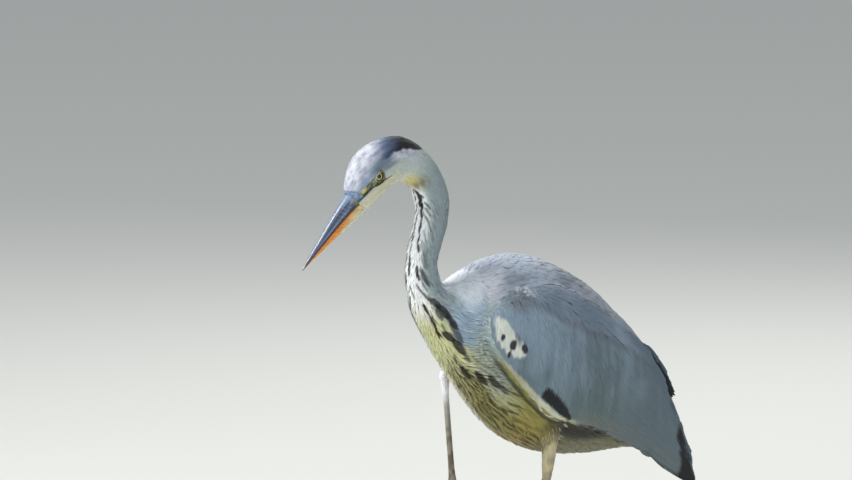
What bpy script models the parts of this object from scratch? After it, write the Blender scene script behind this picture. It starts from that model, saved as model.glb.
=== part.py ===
# A young grey heron (Ardea cinerea), life size, stalking: it stands on its left
# leg, holds the right leg up and looks down its bill. Metres, +Z up, heading -X,
# its left side towards -Y.
import math

import bmesh
import bpy
import numpy as np
from mathutils import Matrix, Vector

for old in list(bpy.data.objects):
    bpy.data.objects.remove(old, do_unlink=True)

# ---------------------------------------------------------------- dimensions
GAP = 0.0003                 # between touching pieces
PITCH = math.radians(33.0)   # the trunk's axis, nose up
TRUNK_O = (0.0, 0.42)        # x, z of the trunk axis' zero
BILL_PITCH = math.radians(45.0)
ANKLE_Z = 0.160              # standing leg
FOOT_X, FOOT_Y = -0.005, 0.000
EYE_R = 0.0068
YOUNG = 0.933                # size against the full-grown bird of the tables
SIDE = {"left": -1.0, "right": 1.0}

# trunk: distance along the axis, half width, back, belly (both across the axis)
TRUNK = [
    (-0.246, 0.014, -0.026, -0.044),
    (-0.238, 0.024, -0.023, -0.055),
    (-0.222, 0.034, -0.018, -0.065),
    (-0.207, 0.041, -0.006, -0.073),
    (-0.193, 0.045, 0.007, -0.080),
    (-0.178, 0.049, 0.034, -0.087),
    (-0.155, 0.055, 0.065, -0.097),
    (-0.125, 0.060, 0.087, -0.108),
    (-0.080, 0.064, 0.103, -0.122),
    (-0.035, 0.066, 0.110, -0.132),
    (0.010, 0.065, 0.112, -0.133),
    (0.055, 0.059, 0.107, -0.123),
    (0.100, 0.050, 0.102, -0.104),
    (0.140, 0.041, 0.093, -0.081),
    (0.170, 0.035, 0.079, -0.060),
]
TAIL = [
    (0.170, 0.035, 0.079, -0.060),
    (0.190, 0.033, 0.062, -0.047),
    (0.215, 0.033, 0.039, -0.033),
    (0.240, 0.035, 0.020, -0.022),
    (0.262, 0.036, 0.006, -0.013),
    (0.278, 0.035, -0.004, -0.012),
    (0.288, 0.029, -0.008, -0.012),
]
# head and neck, bill base to breast: x, z, half width, to the back, to the throat
NECK = [
    (-0.3345, 0.6465, 0.0130, 0.0180, 0.0200),
    (-0.3290, 0.6520, 0.0165, 0.0248, 0.0215),
    (-0.3200, 0.6610, 0.0205, 0.0330, 0.0230),
    (-0.3080, 0.6725, 0.0233, 0.0412, 0.0245),
    (-0.2930, 0.6840, 0.0243, 0.0422, 0.0253),
    (-0.2760, 0.6920, 0.0238, 0.0387, 0.0250),
    (-0.2580, 0.6950, 0.0230, 0.0357, 0.0245),
    (-0.2400, 0.6910, 0.0220, 0.0300, 0.0240),
    (-0.2230, 0.6800, 0.0212, 0.0266, 0.0235),
    (-0.2100, 0.6640, 0.0210, 0.0260, 0.0230),
    (-0.2030, 0.6450, 0.0210, 0.0277, 0.0230),
    (-0.2010, 0.6250, 0.0210, 0.0275, 0.0228),
    (-0.2060, 0.6030, 0.0210, 0.0255, 0.0225),
    (-0.2130, 0.5820, 0.0210, 0.0240, 0.0225),
    (-0.2180, 0.5600, 0.0215, 0.0230, 0.0225),
    (-0.2170, 0.5380, 0.0235, 0.0235, 0.0235),
    (-0.2080, 0.5140, 0.0260, 0.0260, 0.0260),
    (-0.1900, 0.4880, 0.0300, 0.0300, 0.0320),
    (-0.1650, 0.4620, 0.0300, 0.0300, 0.0320),
]


# folded wings: distance along the trunk's axis, lower edge, upper edge, thickness
WING = {
    "left": [                # hangs loose
        (-0.159, -0.031, -0.014, 0.006),
        (-0.151, -0.043, 0.012, 0.011),
        (-0.136, -0.055, 0.033, 0.014),
        (-0.110, -0.066, 0.053, 0.015),
        (-0.080, -0.0745, 0.067, 0.015),
        (-0.040, -0.0835, 0.077, 0.014),
        (0.000, -0.0885, 0.080, 0.012),
        (0.022, -0.0865, 0.080, 0.011),
        (0.042, -0.0790, 0.079, 0.010),
        (0.080, -0.0680, 0.079, 0.009),
        (0.120, -0.0600, 0.074, 0.008),
        (0.160, -0.0515, 0.058, 0.006),
        (0.200, -0.0475, 0.038, 0.005),
        (0.235, -0.0455, 0.018, 0.004),
        (0.265, -0.0435, -0.002, 0.0035),
        (0.290, -0.0410, -0.019, 0.0030),
        (0.305, -0.0380, -0.029, 0.0025),
    ],
    "right": [               # held higher
        (-0.155, -0.022, -0.006, 0.006),
        (-0.147, -0.033, 0.018, 0.011),
        (-0.131, -0.043, 0.040, 0.014),
        (-0.105, -0.052, 0.057, 0.015),
        (-0.075, -0.058, 0.071, 0.015),
        (-0.035, -0.060, 0.081, 0.014),
        (0.005, -0.057, 0.089, 0.012),
        (0.040, -0.047, 0.093, 0.010),
        (0.080, -0.033, 0.104, 0.009),
        (0.120, -0.018, 0.108, 0.008),
        (0.160, -0.003, 0.109, 0.006),
        (0.193, 0.014, 0.107, 0.005),
        (0.222, 0.029, 0.099, 0.004),
        (0.248, 0.043, 0.089, 0.0035),
        (0.268, 0.056, 0.077, 0.0025),
    ],
}
WING_SHEET = [(-0.16, 0.040), (0.05, 0.050), (0.16, 0.044), (0.29, 0.034)]  # least distance from the middle plane
WING_CLEAR = 0.0012          # off the trunk and tail


# ---------------------------------------------------------------- helpers
def spline(keys, n):
    """Smooth rows through the key rows, n of them."""
    k = np.array(keys, float)
    d = np.linalg.norm(np.diff(k[:, :3], axis=0), axis=1)
    t = np.concatenate([[0.0], np.cumsum(np.sqrt(d))])
    t /= t[-1]
    m = np.zeros_like(k)
    m[1:-1] = (k[2:] - k[:-2]) / (t[2:] - t[:-2])[:, None]
    m[0] = (k[1] - k[0]) / (t[1] - t[0])
    m[-1] = (k[-1] - k[-2]) / (t[-1] - t[-2])
    u = np.linspace(0, 1, n) if np.isscalar(n) else np.asarray(n, float)
    i = np.clip(np.searchsorted(t, u, side="right") - 1, 0, len(t) - 2)
    h = (t[i + 1] - t[i])[:, None]
    x = ((u - t[i])[:, None]) / h
    return ((2 * x**3 - 3 * x**2 + 1) * k[i] + (x**3 - 2 * x**2 + x) * h * m[i]
            + (-2 * x**3 + 3 * x**2) * k[i + 1] + (x**3 - x**2) * h * m[i + 1])


def knots(keys):
    k = np.array(keys, float)
    d = np.linalg.norm(np.diff(k[:, :3], axis=0), axis=1)
    t = np.concatenate([[0.0], np.cumsum(np.sqrt(d))])
    return t / t[-1]


def body(s, n, y=0.0):
    """World point from the trunk's own axes: s along it, n across it."""
    a = (math.cos(PITCH), -math.sin(PITCH))
    b = (math.sin(PITCH), math.cos(PITCH))
    return np.array([TRUNK_O[0] + s * a[0] + n * b[0], y, TRUNK_O[1] + s * a[1] + n * b[1]])


def ring(centre, up, width, above, below, segments, power=2.0):
    """An oval across the middle plane, as deep above its centre as below."""
    pts = []
    for k in range(segments):
        a = 2 * math.pi * k / segments
        c, s = math.cos(a), math.sin(a)
        c = math.copysign(abs(c) ** (2.0 / power), c)
        s = math.copysign(abs(s) ** (2.0 / power), s)
        pts.append(centre + np.array([0.0, c * width, 0.0]) + up * (s * (above if s > 0 else below)))
    return pts


def loft(name, sections, tip=False):
    """A closed skin over rings that have as many points each."""
    bm = bmesh.new()
    rows = [[bm.verts.new(p) for p in ring_] for ring_ in sections]
    n = len(rows[0])
    for a, b in zip(rows, rows[1:]):
        for k in range(n):
            bm.faces.new((a[k], a[(k + 1) % n], b[(k + 1) % n], b[k]))
    bm.faces.new(rows[0][::-1])
    bm.faces.new(rows[-1])
    bmesh.ops.recalc_face_normals(bm, faces=bm.faces)
    if bm.calc_volume(signed=True) < 0:
        bmesh.ops.reverse_faces(bm, faces=bm.faces)
    mesh = bpy.data.meshes.new(name)
    bm.to_mesh(mesh)
    bm.free()
    obj = bpy.data.objects.new(name, mesh)
    return obj


HERON = bpy.data.collections.new("heron")
CUTTERS = bpy.data.collections.new("cutters")
bpy.context.scene.collection.children.link(HERON)
bpy.context.scene.collection.children.link(CUTTERS)

LOOKS = {                     # colour, roughness
    "plumage_grey": ((0.42, 0.45, 0.50), 0.85),
    "plumage_pale": ((0.66, 0.67, 0.66), 0.85),
    "plumage_wing": ((0.30, 0.34, 0.40), 0.80),
    "plumage_buff": ((0.52, 0.47, 0.38), 0.85),
    "bill_slate": ((0.09, 0.12, 0.18), 0.40),
    "bill_orange": ((0.80, 0.38, 0.08), 0.42),
    "eye_yellow": ((0.80, 0.62, 0.10), 0.10),
    "leg_grey": ((0.23, 0.22, 0.18), 0.55),
    "claw_horn": ((0.06, 0.05, 0.045), 0.40),
}


def finish(obj, look):
    HERON.objects.link(obj)
    colour, rough = LOOKS[look]
    mat = bpy.data.materials.new(obj.name + "_" + look)
    mat.use_nodes = True
    bsdf = mat.node_tree.nodes["Principled BSDF"]
    bsdf.inputs["Base Color"].default_value = (*colour, 1.0)
    bsdf.inputs["Roughness"].default_value = rough
    bsdf.inputs["Metallic"].default_value = 0.0
    obj.data.materials.clear()
    obj.data.materials.append(mat)
    return obj


def cutter(obj):
    CUTTERS.objects.link(obj)
    obj.hide_render = True
    obj.display_type = "WIRE"
    return obj


def applied(obj, other, operation):
    """obj with the Boolean carried out, as a plain mesh."""
    linked = obj.name in bpy.context.scene.objects
    if not linked:
        bpy.context.scene.collection.objects.link(obj)
    mod = obj.modifiers.new("cut", "BOOLEAN")
    mod.operation = operation
    mod.solver = "EXACT"
    mod.object = other
    deps = bpy.context.evaluated_depsgraph_get()
    mesh = bpy.data.meshes.new_from_object(obj.evaluated_get(deps))
    name = obj.name
    obj.modifiers.clear()
    obj.data = mesh
    if not linked:
        bpy.context.scene.collection.objects.unlink(obj)
    bm = bmesh.new()
    bm.from_mesh(mesh)
    bmesh.ops.remove_doubles(bm, verts=bm.verts, dist=2e-6)
    bmesh.ops.dissolve_degenerate(bm, edges=bm.edges, dist=2e-6)
    bmesh.ops.triangulate(bm, faces=[f for f in bm.faces if len(f.verts) > 4])
    bm.to_mesh(mesh)
    bm.free()
    return obj


# ---------------------------------------------------------------- trunk, tail
def trunk_sections(keys, n, grow=0.0, segments=24):
    out = []
    for s, w, top, bottom in spline([(a, b, c, d) for a, b, c, d in keys], n):
        mid, half = 0.5 * (top + bottom), 0.5 * (top - bottom)
        up = body(0, 1) - body(0, 0)
        out.append(ring(body(s, mid), up, w + grow, half + grow, half + grow, segments, 2.15))
    return out


trunk = loft("trunk", trunk_sections(TRUNK, 25))
tail_sections = trunk_sections(TAIL, 9)
shift = body(GAP, 0) - body(0, 0)
tail = loft("tail", [[p + shift for p in r] for r in tail_sections])

# ---------------------------------------------------------------- head, neck
KN = knots(NECK)


def neck_rows(u):
    return spline(NECK, u)


def neck_sections(u, segments=20, grow=0.0):
    fine = neck_rows(np.linspace(0, 1, 400))
    fu = np.linspace(0, 1, 400)
    rows = neck_rows(u)
    out = []
    for uu, (x, z, w, back, throat) in zip(u, rows):
        ax = np.interp([uu - 0.004, uu + 0.004], fu, fine[:, 0])
        az = np.interp([uu - 0.004, uu + 0.004], fu, fine[:, 1])
        t = np.array([ax[1] - ax[0], 0.0, az[1] - az[0]])
        t /= np.linalg.norm(t)
        up = np.array([-t[2], 0.0, t[0]])
        out.append((np.array([x, 0.0, z]), t, ring(np.array([x, 0.0, z]), up, w + grow, back + grow, throat + grow, segments)))
    return out


def neck_piece(name, u0, u1, n):
    rows = neck_sections(np.linspace(u0, u1, n))
    rings = [r for _, _, r in rows]
    rings[0] = [p + rows[0][1] * GAP * 0.5 for p in rings[0]]
    rings[-1] = [p - rows[-1][1] * GAP * 0.5 for p in rings[-1]]
    return loft(name, rings)


HEAD_END, UPPER_END, MIDDLE_END = KN[7], KN[11], KN[14]
head = neck_piece("head", 0.0, HEAD_END, 15)
neck_upper = neck_piece("neck_upper", HEAD_END, UPPER_END, 9)
neck_middle = neck_piece("neck_middle", UPPER_END, MIDDLE_END, 7)
neck_lower = neck_piece("neck_lower", MIDDLE_END, 1.0, 10)


# ---------------------------------------------------------------- general limb
def tube(name, keys, n, segments=12, floor=None, reference=(0, 1, 0)):
    """A limb through keys of x, y, z, radius across, radius along the reference.
    On a floor an edge of its section lies down, so that it stands on a flat."""
    rows = spline(keys, n)
    turned = 0.5 if floor is not None and segments % 4 == 0 else 0.0
    p = rows[:, :3]
    t = np.gradient(p, axis=0)
    t /= np.linalg.norm(t, axis=1)[:, None]
    sections = []
    for k in range(len(rows)):
        side = np.array(reference, float)
        side -= t[k] * (side @ t[k])
        side /= np.linalg.norm(side)
        up = np.cross(t[k], side)
        pts = []
        for j in range(segments):
            a = 2 * math.pi * (j + turned) / segments
            q = p[k] + side * (math.cos(a) * rows[k, 4]) + up * (math.sin(a) * rows[k, 3])
            if floor is not None:
                q[2] = max(q[2], floor)
            pts.append(q)
        sections.append(pts)
    return loft(name, sections)


# ---------------------------------------------------------------- bill
BILL_AXIS = np.array([-math.cos(BILL_PITCH), 0.0, -math.sin(BILL_PITCH)])
BILL_UP = np.array([-math.sin(BILL_PITCH), 0.0, math.cos(BILL_PITCH)])
BILL_BASE = np.array([NECK[0][0], 0.0, NECK[0][1]])
# along the bill, half width, ridge, mouth line, underside
BILL = [
    (0.000, 0.0122, 0.0172, 0.0000, -0.0192),
    (0.015, 0.0108, 0.0164, 0.0018, -0.0168),
    (0.035, 0.0089, 0.0147, 0.0031, -0.0131),
    (0.060, 0.0068, 0.0120, 0.0038, -0.0082),
    (0.085, 0.0047, 0.0091, 0.0040, -0.0032),
    (0.105, 0.0029, 0.0067, 0.0038, 0.0006),
    (0.116, 0.0015, 0.0050, 0.0034, 0.0022),
    (0.120, 0.0007, 0.0040, 0.0032, 0.0026),
]


def mandible(name, upper, n=14, arc=9):
    rows = spline(BILL, n)
    rows[0, 0] += GAP
    sections = []
    for d, w, ridge, mouth, under in rows:
        c = BILL_BASE + BILL_AXIS * d
        pts = []
        if upper:
            lo, hi = mouth + 0.5 * GAP, ridge
        else:
            lo, hi = mouth - 0.5 * GAP, under
        for k in range(arc):
            a = math.pi * k / (arc - 1)
            y = w * math.cos(a)
            rise = abs(math.sin(a)) ** (0.90 if upper else 0.80)
            pts.append(c + np.array([0.0, y, 0.0]) + BILL_UP * (lo + (hi - lo) * rise))
        for f in (-0.5, 0.5):
            pts.append(c + np.array([0.0, w * f, 0.0]) + BILL_UP * lo)
        sections.append(pts)
    return loft(name, sections)


bill_upper = mandible("bill_upper", True)
bill_lower = mandible("bill_lower", False)

# ---------------------------------------------------------------- eyes
EYE_D, EYE_N, EYE_Y = -0.0440, 0.0060, 0.0172


def ball(name, centre, radius, rings_=9, segments=14):
    bm = bmesh.new()
    bmesh.ops.create_uvsphere(bm, u_segments=segments, v_segments=rings_, radius=radius,
                              matrix=Matrix.Translation(Vector(centre)) @ Matrix.Rotation(math.pi / 2, 4, "X"))
    mesh = bpy.data.meshes.new(name)
    bm.to_mesh(mesh)
    bm.free()
    return bpy.data.objects.new(name, mesh)


eyes = {}
for word, side in SIDE.items():
    centre = BILL_BASE + BILL_AXIS * EYE_D + BILL_UP * EYE_N + np.array([0.0, side * EYE_Y, 0.0])
    eyes[word] = ball("eye_" + word, centre, EYE_R)
    socket = cutter(ball("socket_" + word, centre, EYE_R + 0.0005))
    applied(head, socket, "DIFFERENCE")


# ---------------------------------------------------------------- wings
def half_width(s, n):
    """The trunk's and tail's half width at a place on the side view."""
    table = TRUNK + TAIL[1:]
    ts = [r[0] for r in table]
    s = min(max(s, ts[0]), ts[-1])
    w, top, bottom = (float(np.interp(s, ts, [r[k] for r in table])) for k in (1, 2, 3))
    mid, half = 0.5 * (top + bottom), 0.5 * (top - bottom)
    q = min(abs(n - mid) / half, 1.0)
    return w * (1 - q ** 2.15) ** (1 / 2.15)


def sheet(s, n):
    """How far out the wing's inner face lies: over the trunk, or its own plane."""
    a = half_width(s, n) + WING_CLEAR
    b = float(np.interp(s, [r[0] for r in WING_SHEET], [r[1] for r in WING_SHEET]))
    return 0.5 * (a + b + math.sqrt((a - b) ** 2 + 0.012 ** 2))


def wing(word, across=10, along=22):
    side = SIDE[word]
    rows = spline([(r[0], r[1], r[2], r[3]) for r in WING[word]], along)
    sections = []
    for s, low, high, thick in rows:
        inner, outer = [], []
        for k in range(across):
            v = k / (across - 1)
            v = 0.5 - 0.5 * math.cos(math.pi * v)
            n = low + (high - low) * v
            y = sheet(s, n)
            lens = (1 - abs(2 * v - 1) ** 2.6) ** 0.6
            t = 0.0014 + (thick - 0.0014) * lens
            inner.append(body(s, n, side * y))
            outer.append(body(s, n, side * (y + t)))
        sections.append(inner + outer[::-1])
    return loft("wing_" + word, sections)


wings = {word: wing(word) for word in SIDE}

# ---------------------------------------------------------------- legs
HIP = {"left": [
    (-0.018, -0.037, 0.350, 0.022, 0.0140),
    (-0.023, -0.0385, 0.325, 0.0155, 0.0125),
    (-0.027, -0.0400, 0.300, 0.0112, 0.0105),
    (-0.0295, -0.0400, 0.278, 0.0095, 0.0090),
    (-0.0308, -0.0388, 0.258, 0.0070, 0.0066),
    (-0.0308, -0.0375, 0.246, 0.0054, 0.0050),
], "right": [
    (0.010, 0.0380, 0.362, 0.026, 0.0130),
    (-0.030, 0.0420, 0.371, 0.021, 0.0130),
    (-0.062, 0.0460, 0.379, 0.0155, 0.0122),
    (-0.083, 0.0525, 0.3837, 0.0105, 0.0098),
    (-0.096, 0.0552, 0.3866, 0.0068, 0.0062),
    (-0.102, 0.0558, 0.3878, 0.0054, 0.0050),
]}
ANKLE = {"left": np.array([-0.0190, -0.0240, ANKLE_Z]), "right": np.array([-0.1337, 0.0525, 0.3945])}
HUB = {"left": np.array([FOOT_X, FOOT_Y, 0.0085]), "right": np.array([-0.1207, 0.0500, 0.2420])}

# toes: name, turn outwards from straight ahead, length to the claw, claw, knuckles
TOES = [("middle", 3.0, 0.079, 0.017, 4), ("inner", -34.0, 0.058, 0.015, 3), ("outer", 39.0, 0.066, 0.013, 5), ("hind", 171.0, 0.038, 0.021, 2)]
TOE_START = 0.0078

trunk_big = cutter(loft("trunk_clear", trunk_sections(TRUNK, 25, grow=GAP * 1.4)))
bpy.context.view_layer.update()

legs = []
for word, side in SIDE.items():
    thigh = tube("thigh_" + word, HIP[word], 10, 12)
    applied(thigh, trunk_big, "DIFFERENCE")
    end, ankle, hub = np.array(HIP[word][-1]), ANKLE[word], HUB[word]
    down = (ankle - end[:3]) / np.linalg.norm(ankle - end[:3])
    shin_top = end[:3] - down * 0.003
    shin_end = ankle - down * 0.0020
    mid = 0.5 * (shin_top + shin_end)
    shin = tube("tibia_" + word, [
        (*shin_top, 0.0049, 0.0045), (*mid, 0.0045, 0.0040), (*(shin_end - down * 0.013), 0.0052, 0.0046), (*shin_end, 0.0068, 0.0058)], 8, 10)
    along = (hub - ankle) / np.linalg.norm(hub - ankle)

    def shank(name, grow):
        """Tarsus with the ankle's knob above and the foot's hub below."""
        return tube(name, [(*(p), a + grow, b + grow) for p, a, b in (
            (ankle - along * (0.0068 + grow), 0.0040, 0.0036), (ankle - along * 0.0040, 0.0066, 0.0056), (ankle, 0.0079, 0.0065),
            (ankle + along * 0.010, 0.0064, 0.0055), (ankle + along * 0.026, 0.0046, 0.0041), (ankle + (hub - ankle) * 0.5, 0.0043, 0.0037),
            (hub - along * 0.024, 0.0046, 0.0041), (hub - along * 0.009, 0.0060, 0.0058), (hub, 0.0080, 0.0080),
            (hub + along * (0.0110 + grow), 0.0062, 0.0062))], 18, 10, floor=0.0 if word == "left" and not grow else None)

    tarsus = shank("tarsus_" + word, 0.0)
    knob_big = cutter(shank("tarsus_clear_" + word, 1.3 * GAP))
    rows = [list(r) for r in HIP[word]]
    for r in rows:
        r[3] += 1.3 * GAP
        r[4] += 1.3 * GAP
    rows[-1][:3] = end[:3] + down * 1.3 * GAP
    thigh_big = cutter(tube("thigh_clear_" + word, rows, 10, 12))
    bpy.context.view_layer.update()
    applied(shin, knob_big, "DIFFERENCE")
    applied(shin, thigh_big, "DIFFERENCE")
    legs += [(thigh, "plumage_buff"), (shin, "leg_grey"), (tarsus, "leg_grey")]
    for toe, turn, length, claw, knuckles in TOES:
        a = math.radians(turn) * side
        flat = np.array([-math.cos(a), math.sin(a), 0.0])
        keys, nails = [], []
        steps = 13
        if word == "right":
            flat = np.array([-math.cos(a) if toe != "hind" else 1.0, 0.42 * math.sin(a), 0.0])
            flat /= np.linalg.norm(flat)
        for k in range(steps):
            f = k / (steps - 1)
            r = 0.0036 - 0.0013 * f + 0.0005 * math.cos(2 * math.pi * knuckles * f) * (1 - 0.3 * f)
            r *= min(1.0, 0.46 + 2.6 * f)
            if toe == "hind":
                r *= 0.95
            if word == "left":
                pos = hub + flat * (TOE_START * 0.5 + (length - TOE_START * 0.5) * f)
                pos[2] = 0.86 * r + 0.0026 * max(0.0, 1 - f * 6)
            else:
                # each joint bends a little more, from along the tarsus
                bend = math.radians(30.0 * f - 20.0) if toe != "hind" else math.radians(50.0 - 34.0 * f)
                step = along * math.cos(bend) + flat * (-math.sin(bend) if toe != "hind" else math.sin(bend))
                if toe in ("inner", "outer"):
                    step = step + np.array([0.0, side * math.copysign(0.34, turn) * (1 - 0.7 * f), 0.0])
                    step /= np.linalg.norm(step)
                if k == 0:
                    pos = hub + step * TOE_START * 0.45
                    if toe in ("inner", "outer"):
                        pos[1] += side * math.copysign(0.0042, turn)
                else:
                    pos = pos + step * (length - TOE_START * 0.45) / (steps - 1)
            keys.append((*pos, r, r * 0.92))
        ref = np.cross((0, 0, 1), flat) if word == "left" else np.array([0.0, 1.0, 0.0])
        piece = tube("toe_%s_%s" % (toe, word), keys, 11, 8, floor=0.0 if word == "left" else None, reference=ref)
        applied(piece, knob_big, "DIFFERENCE")
        tip = np.array(keys[-1][:3])
        way = np.array(keys[-1][:3]) - np.array(keys[-2][:3])
        way /= np.linalg.norm(way)
        curl = np.array([0.0, 0.0, -1.0]) if word == "left" else np.cross(way, np.array([0.0, 1.0, 0.0]))
        if word == "right" and curl @ np.array([1.0, 0.0, 0.0]) < 0 and toe != "hind":
            curl = -curl
        if word == "right" and toe == "hind" and curl @ np.array([-1.0, 0.0, 0.0]) < 0:
            curl = -curl
        r0 = keys[-1][3] * 0.90
        at = tip + way * GAP * 2.0
        for k in range(7):
            f = k / 6
            lift = 0.0016 * math.sin(math.pi * min(1.0, f * 1.25)) if word == "left" else 0.0
            q = at + way * (claw * f) + curl * (0.20 * claw * max(0.0, f - 0.17) ** 2)
            if word == "left":
                fall = max(0.0, f - 0.17) / 0.83
                q[2] = at[2] * (1 - fall) + 0.0007 * fall + lift * fall
            nails.append((*q, r0 * (1 - f) ** 0.8 + 0.00045, (r0 * (1 - f) ** 0.8 + 0.00045) * 0.85))
        nail = tube("claw_%s_%s" % (toe, word), nails, 6, 6, floor=0.0 if word == "left" else None, reference=ref)
        legs += [(piece, "leg_grey"), (nail, "claw_horn")]

# ---------------------------------------------------------------- neck and trunk
# The two are one body, parted by a thin cut across the neck's root, which turns
# up between the neck and the back.
bpy.context.view_layer.update()
CUT = [(-1.0, 0.2400), (-0.2350, 0.5030), (-0.1865, 0.5200), (-0.1730, 0.5800), (0.3, 0.6400), (0.3, 1.4), (-1.0, 1.4)]


def prism(name, grow):
    """The neck's side of the cut, its face moved by grow."""
    line = [Vector((x, z)) for x, z in CUT]
    moved = []
    for k, p in enumerate(line):
        if 0 < k < 4:
            d0, d1 = (p - line[k - 1]).normalized(), (line[k + 1] - p).normalized()
            n0, n1 = Vector((d0.y, -d0.x)), Vector((d1.y, -d1.x))
            m = (n0 + n1).normalized()
            moved.append(p + m * (grow / m.dot(n0)))
        elif k in (0, 4):
            d = (line[k + 1] - p if k == 0 else p - line[k - 1]).normalized()
            moved.append(p + Vector((d.y, -d.x)) * grow)
        else:
            moved.append(p)
    sections = [[(p.x, y, p.y) for p in moved] for y in (-0.5, 0.5)]
    return cutter(loft(name, sections))


keep, drop = prism("side_neck", -0.5 * GAP), prism("side_trunk", 0.5 * GAP)
finish(trunk, "plumage_grey")
finish(neck_lower, "plumage_pale")
bpy.context.view_layer.update()
neck_core = cutter(bpy.data.objects.new("neck_core", neck_lower.data.copy()))
bpy.context.view_layer.update()
applied(trunk, neck_core, "UNION")
whole = cutter(bpy.data.objects.new("whole", trunk.data.copy()))
bpy.context.view_layer.update()
applied(trunk, drop, "DIFFERENCE")
applied(whole, keep, "INTERSECT")
neck_lower.data = whole.data.copy()
for o, look in ((trunk, "plumage_grey"), (neck_lower, "plumage_pale")):
    HERON.objects.unlink(o)
    finish(o, look)

for o, look in [(tail, "plumage_grey"), (head, "plumage_pale"), (neck_upper, "plumage_pale"), (neck_middle, "plumage_pale"),
                (bill_upper, "bill_slate"), (bill_lower, "bill_orange")] + legs:
    finish(o, look)
for word in SIDE:
    finish(eyes[word], "eye_yellow")
    finish(wings[word], "plumage_wing")

# ---------------------------------------------------------------- size, origin
# The tables give a full-grown bird; this one is in its first year. The origin is
# under the middle of the bird, on the floor.
bpy.context.view_layer.update()
corners = np.array([o.matrix_world @ v.co for o in HERON.objects for v in o.data.vertices]) * YOUNG
centre = 0.5 * (corners.min(axis=0) + corners.max(axis=0))
place = Matrix.Translation((-centre[0], -centre[1], -corners[:, 2].min())) @ Matrix.Scale(YOUNG, 4)
for o in list(HERON.objects) + list(CUTTERS.objects):
    o.data.transform(place)
    o.data.update()
for o in HERON.objects:
    o.data.shade_smooth()
    o.data.set_sharp_from_angle(angle=math.radians(40))
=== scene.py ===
import math

import bmesh
import bpy
import numpy as np
from mathutils import Matrix, Vector
from mathutils.bvhtree import BVHTree


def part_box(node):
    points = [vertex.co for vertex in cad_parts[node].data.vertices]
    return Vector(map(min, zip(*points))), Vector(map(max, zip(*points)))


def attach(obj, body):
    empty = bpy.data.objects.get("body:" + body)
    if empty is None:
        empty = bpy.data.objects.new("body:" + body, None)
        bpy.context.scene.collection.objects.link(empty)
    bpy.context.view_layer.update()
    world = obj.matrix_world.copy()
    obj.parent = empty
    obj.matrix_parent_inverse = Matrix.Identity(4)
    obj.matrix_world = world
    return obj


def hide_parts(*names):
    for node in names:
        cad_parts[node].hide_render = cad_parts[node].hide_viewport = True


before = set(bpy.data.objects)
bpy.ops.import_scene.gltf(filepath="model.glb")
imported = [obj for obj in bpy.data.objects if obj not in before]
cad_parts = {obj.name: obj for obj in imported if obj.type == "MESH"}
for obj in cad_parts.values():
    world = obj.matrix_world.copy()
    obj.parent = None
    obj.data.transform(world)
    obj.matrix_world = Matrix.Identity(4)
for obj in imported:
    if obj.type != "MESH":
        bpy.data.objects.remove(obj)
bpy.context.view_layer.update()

RNG = np.random.default_rng(7)

# ---------------------------------------------------------------- shared sizes
# The tables below give a full-grown bird, as the solids' own tables do. The
# model is that bird times YOUNG, with its box centred over the origin.
YOUNG = 0.933
SHIFT = np.array([-0.07774, 0.00017, 0.0])
PITCH = math.radians(33.0)
C33, S33 = math.cos(PITCH), math.sin(PITCH)
LEFT, RIGHT = -1.0, 1.0
NECK_TURN = math.radians(17.0)     # the neck is turned a little to the left


def place(p):
    """Tables to model."""
    return (np.asarray(p, float) - SHIFT) * YOUNG


def table(p):
    """Model to tables."""
    return np.asarray(p, float) / YOUNG + SHIFT


def body(s, n, y=0.0):
    """A point of the trunk's frame: along its axis, across it, sideways."""
    return np.array([s * C33 + n * S33, y, 0.42 - s * S33 + n * C33])


def trunk_frame(p):
    """Tables to (along, across) of the trunk."""
    x, z = p[:, 0], p[:, 2] - 0.42
    return x * C33 - z * S33, x * S33 + z * C33


# the line through head, neck and trunk, bill base to tail: x, z
HEAD_NECK = [
    (-0.3345, 0.6465), (-0.3200, 0.6610), (-0.3080, 0.6725), (-0.2930, 0.6840), (-0.2760, 0.6920), (-0.2580, 0.6950),
    (-0.2400, 0.6910), (-0.2230, 0.6800), (-0.2100, 0.6640), (-0.2030, 0.6450), (-0.2010, 0.6250), (-0.2060, 0.6030),
    (-0.2130, 0.5820), (-0.2180, 0.5600), (-0.2170, 0.5380), (-0.2080, 0.5140), (-0.1900, 0.4880), (-0.1650, 0.4620),
]
TRUNK_LINE = [(-0.12, -0.03), (-0.06, -0.012), (0.0, -0.01), (0.06, -0.008), (0.12, 0.0), (0.17, 0.008), (0.22, 0.003), (0.27, -0.008)]


def spline(rows, n):
    """Catmull-Rom through rows, n points evenly along the rows."""
    r = np.asarray(rows, float)
    e = np.vstack([2 * r[0] - r[1], r, 2 * r[-1] - r[-2]])
    u = np.linspace(0, len(r) - 1, n)
    k = np.minimum(u.astype(int), len(r) - 2)
    f = (u - k)[:, None]
    a, b, c, d = e[k], e[k + 1], e[k + 2], e[k + 3]
    return 0.5 * (2 * b + (c - a) * f + (2 * a - 5 * b + 4 * c - d) * f ** 2 + (3 * b - a - 3 * c + d) * f ** 3)


LINE = spline(HEAD_NECK + [tuple(body(s, n)[[0, 2]]) for s, n in TRUNK_LINE], 260)
LINE_S = np.r_[0.0, np.cumsum(np.linalg.norm(np.diff(LINE, axis=0), axis=1))]
LINE_T = np.gradient(LINE, axis=0)
LINE_T /= np.linalg.norm(LINE_T, axis=1)[:, None]


def smooth(a, b, x):
    t = np.clip((x - a) / (b - a), 0.0, 1.0)
    return t * t * (3 - 2 * t)


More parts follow.
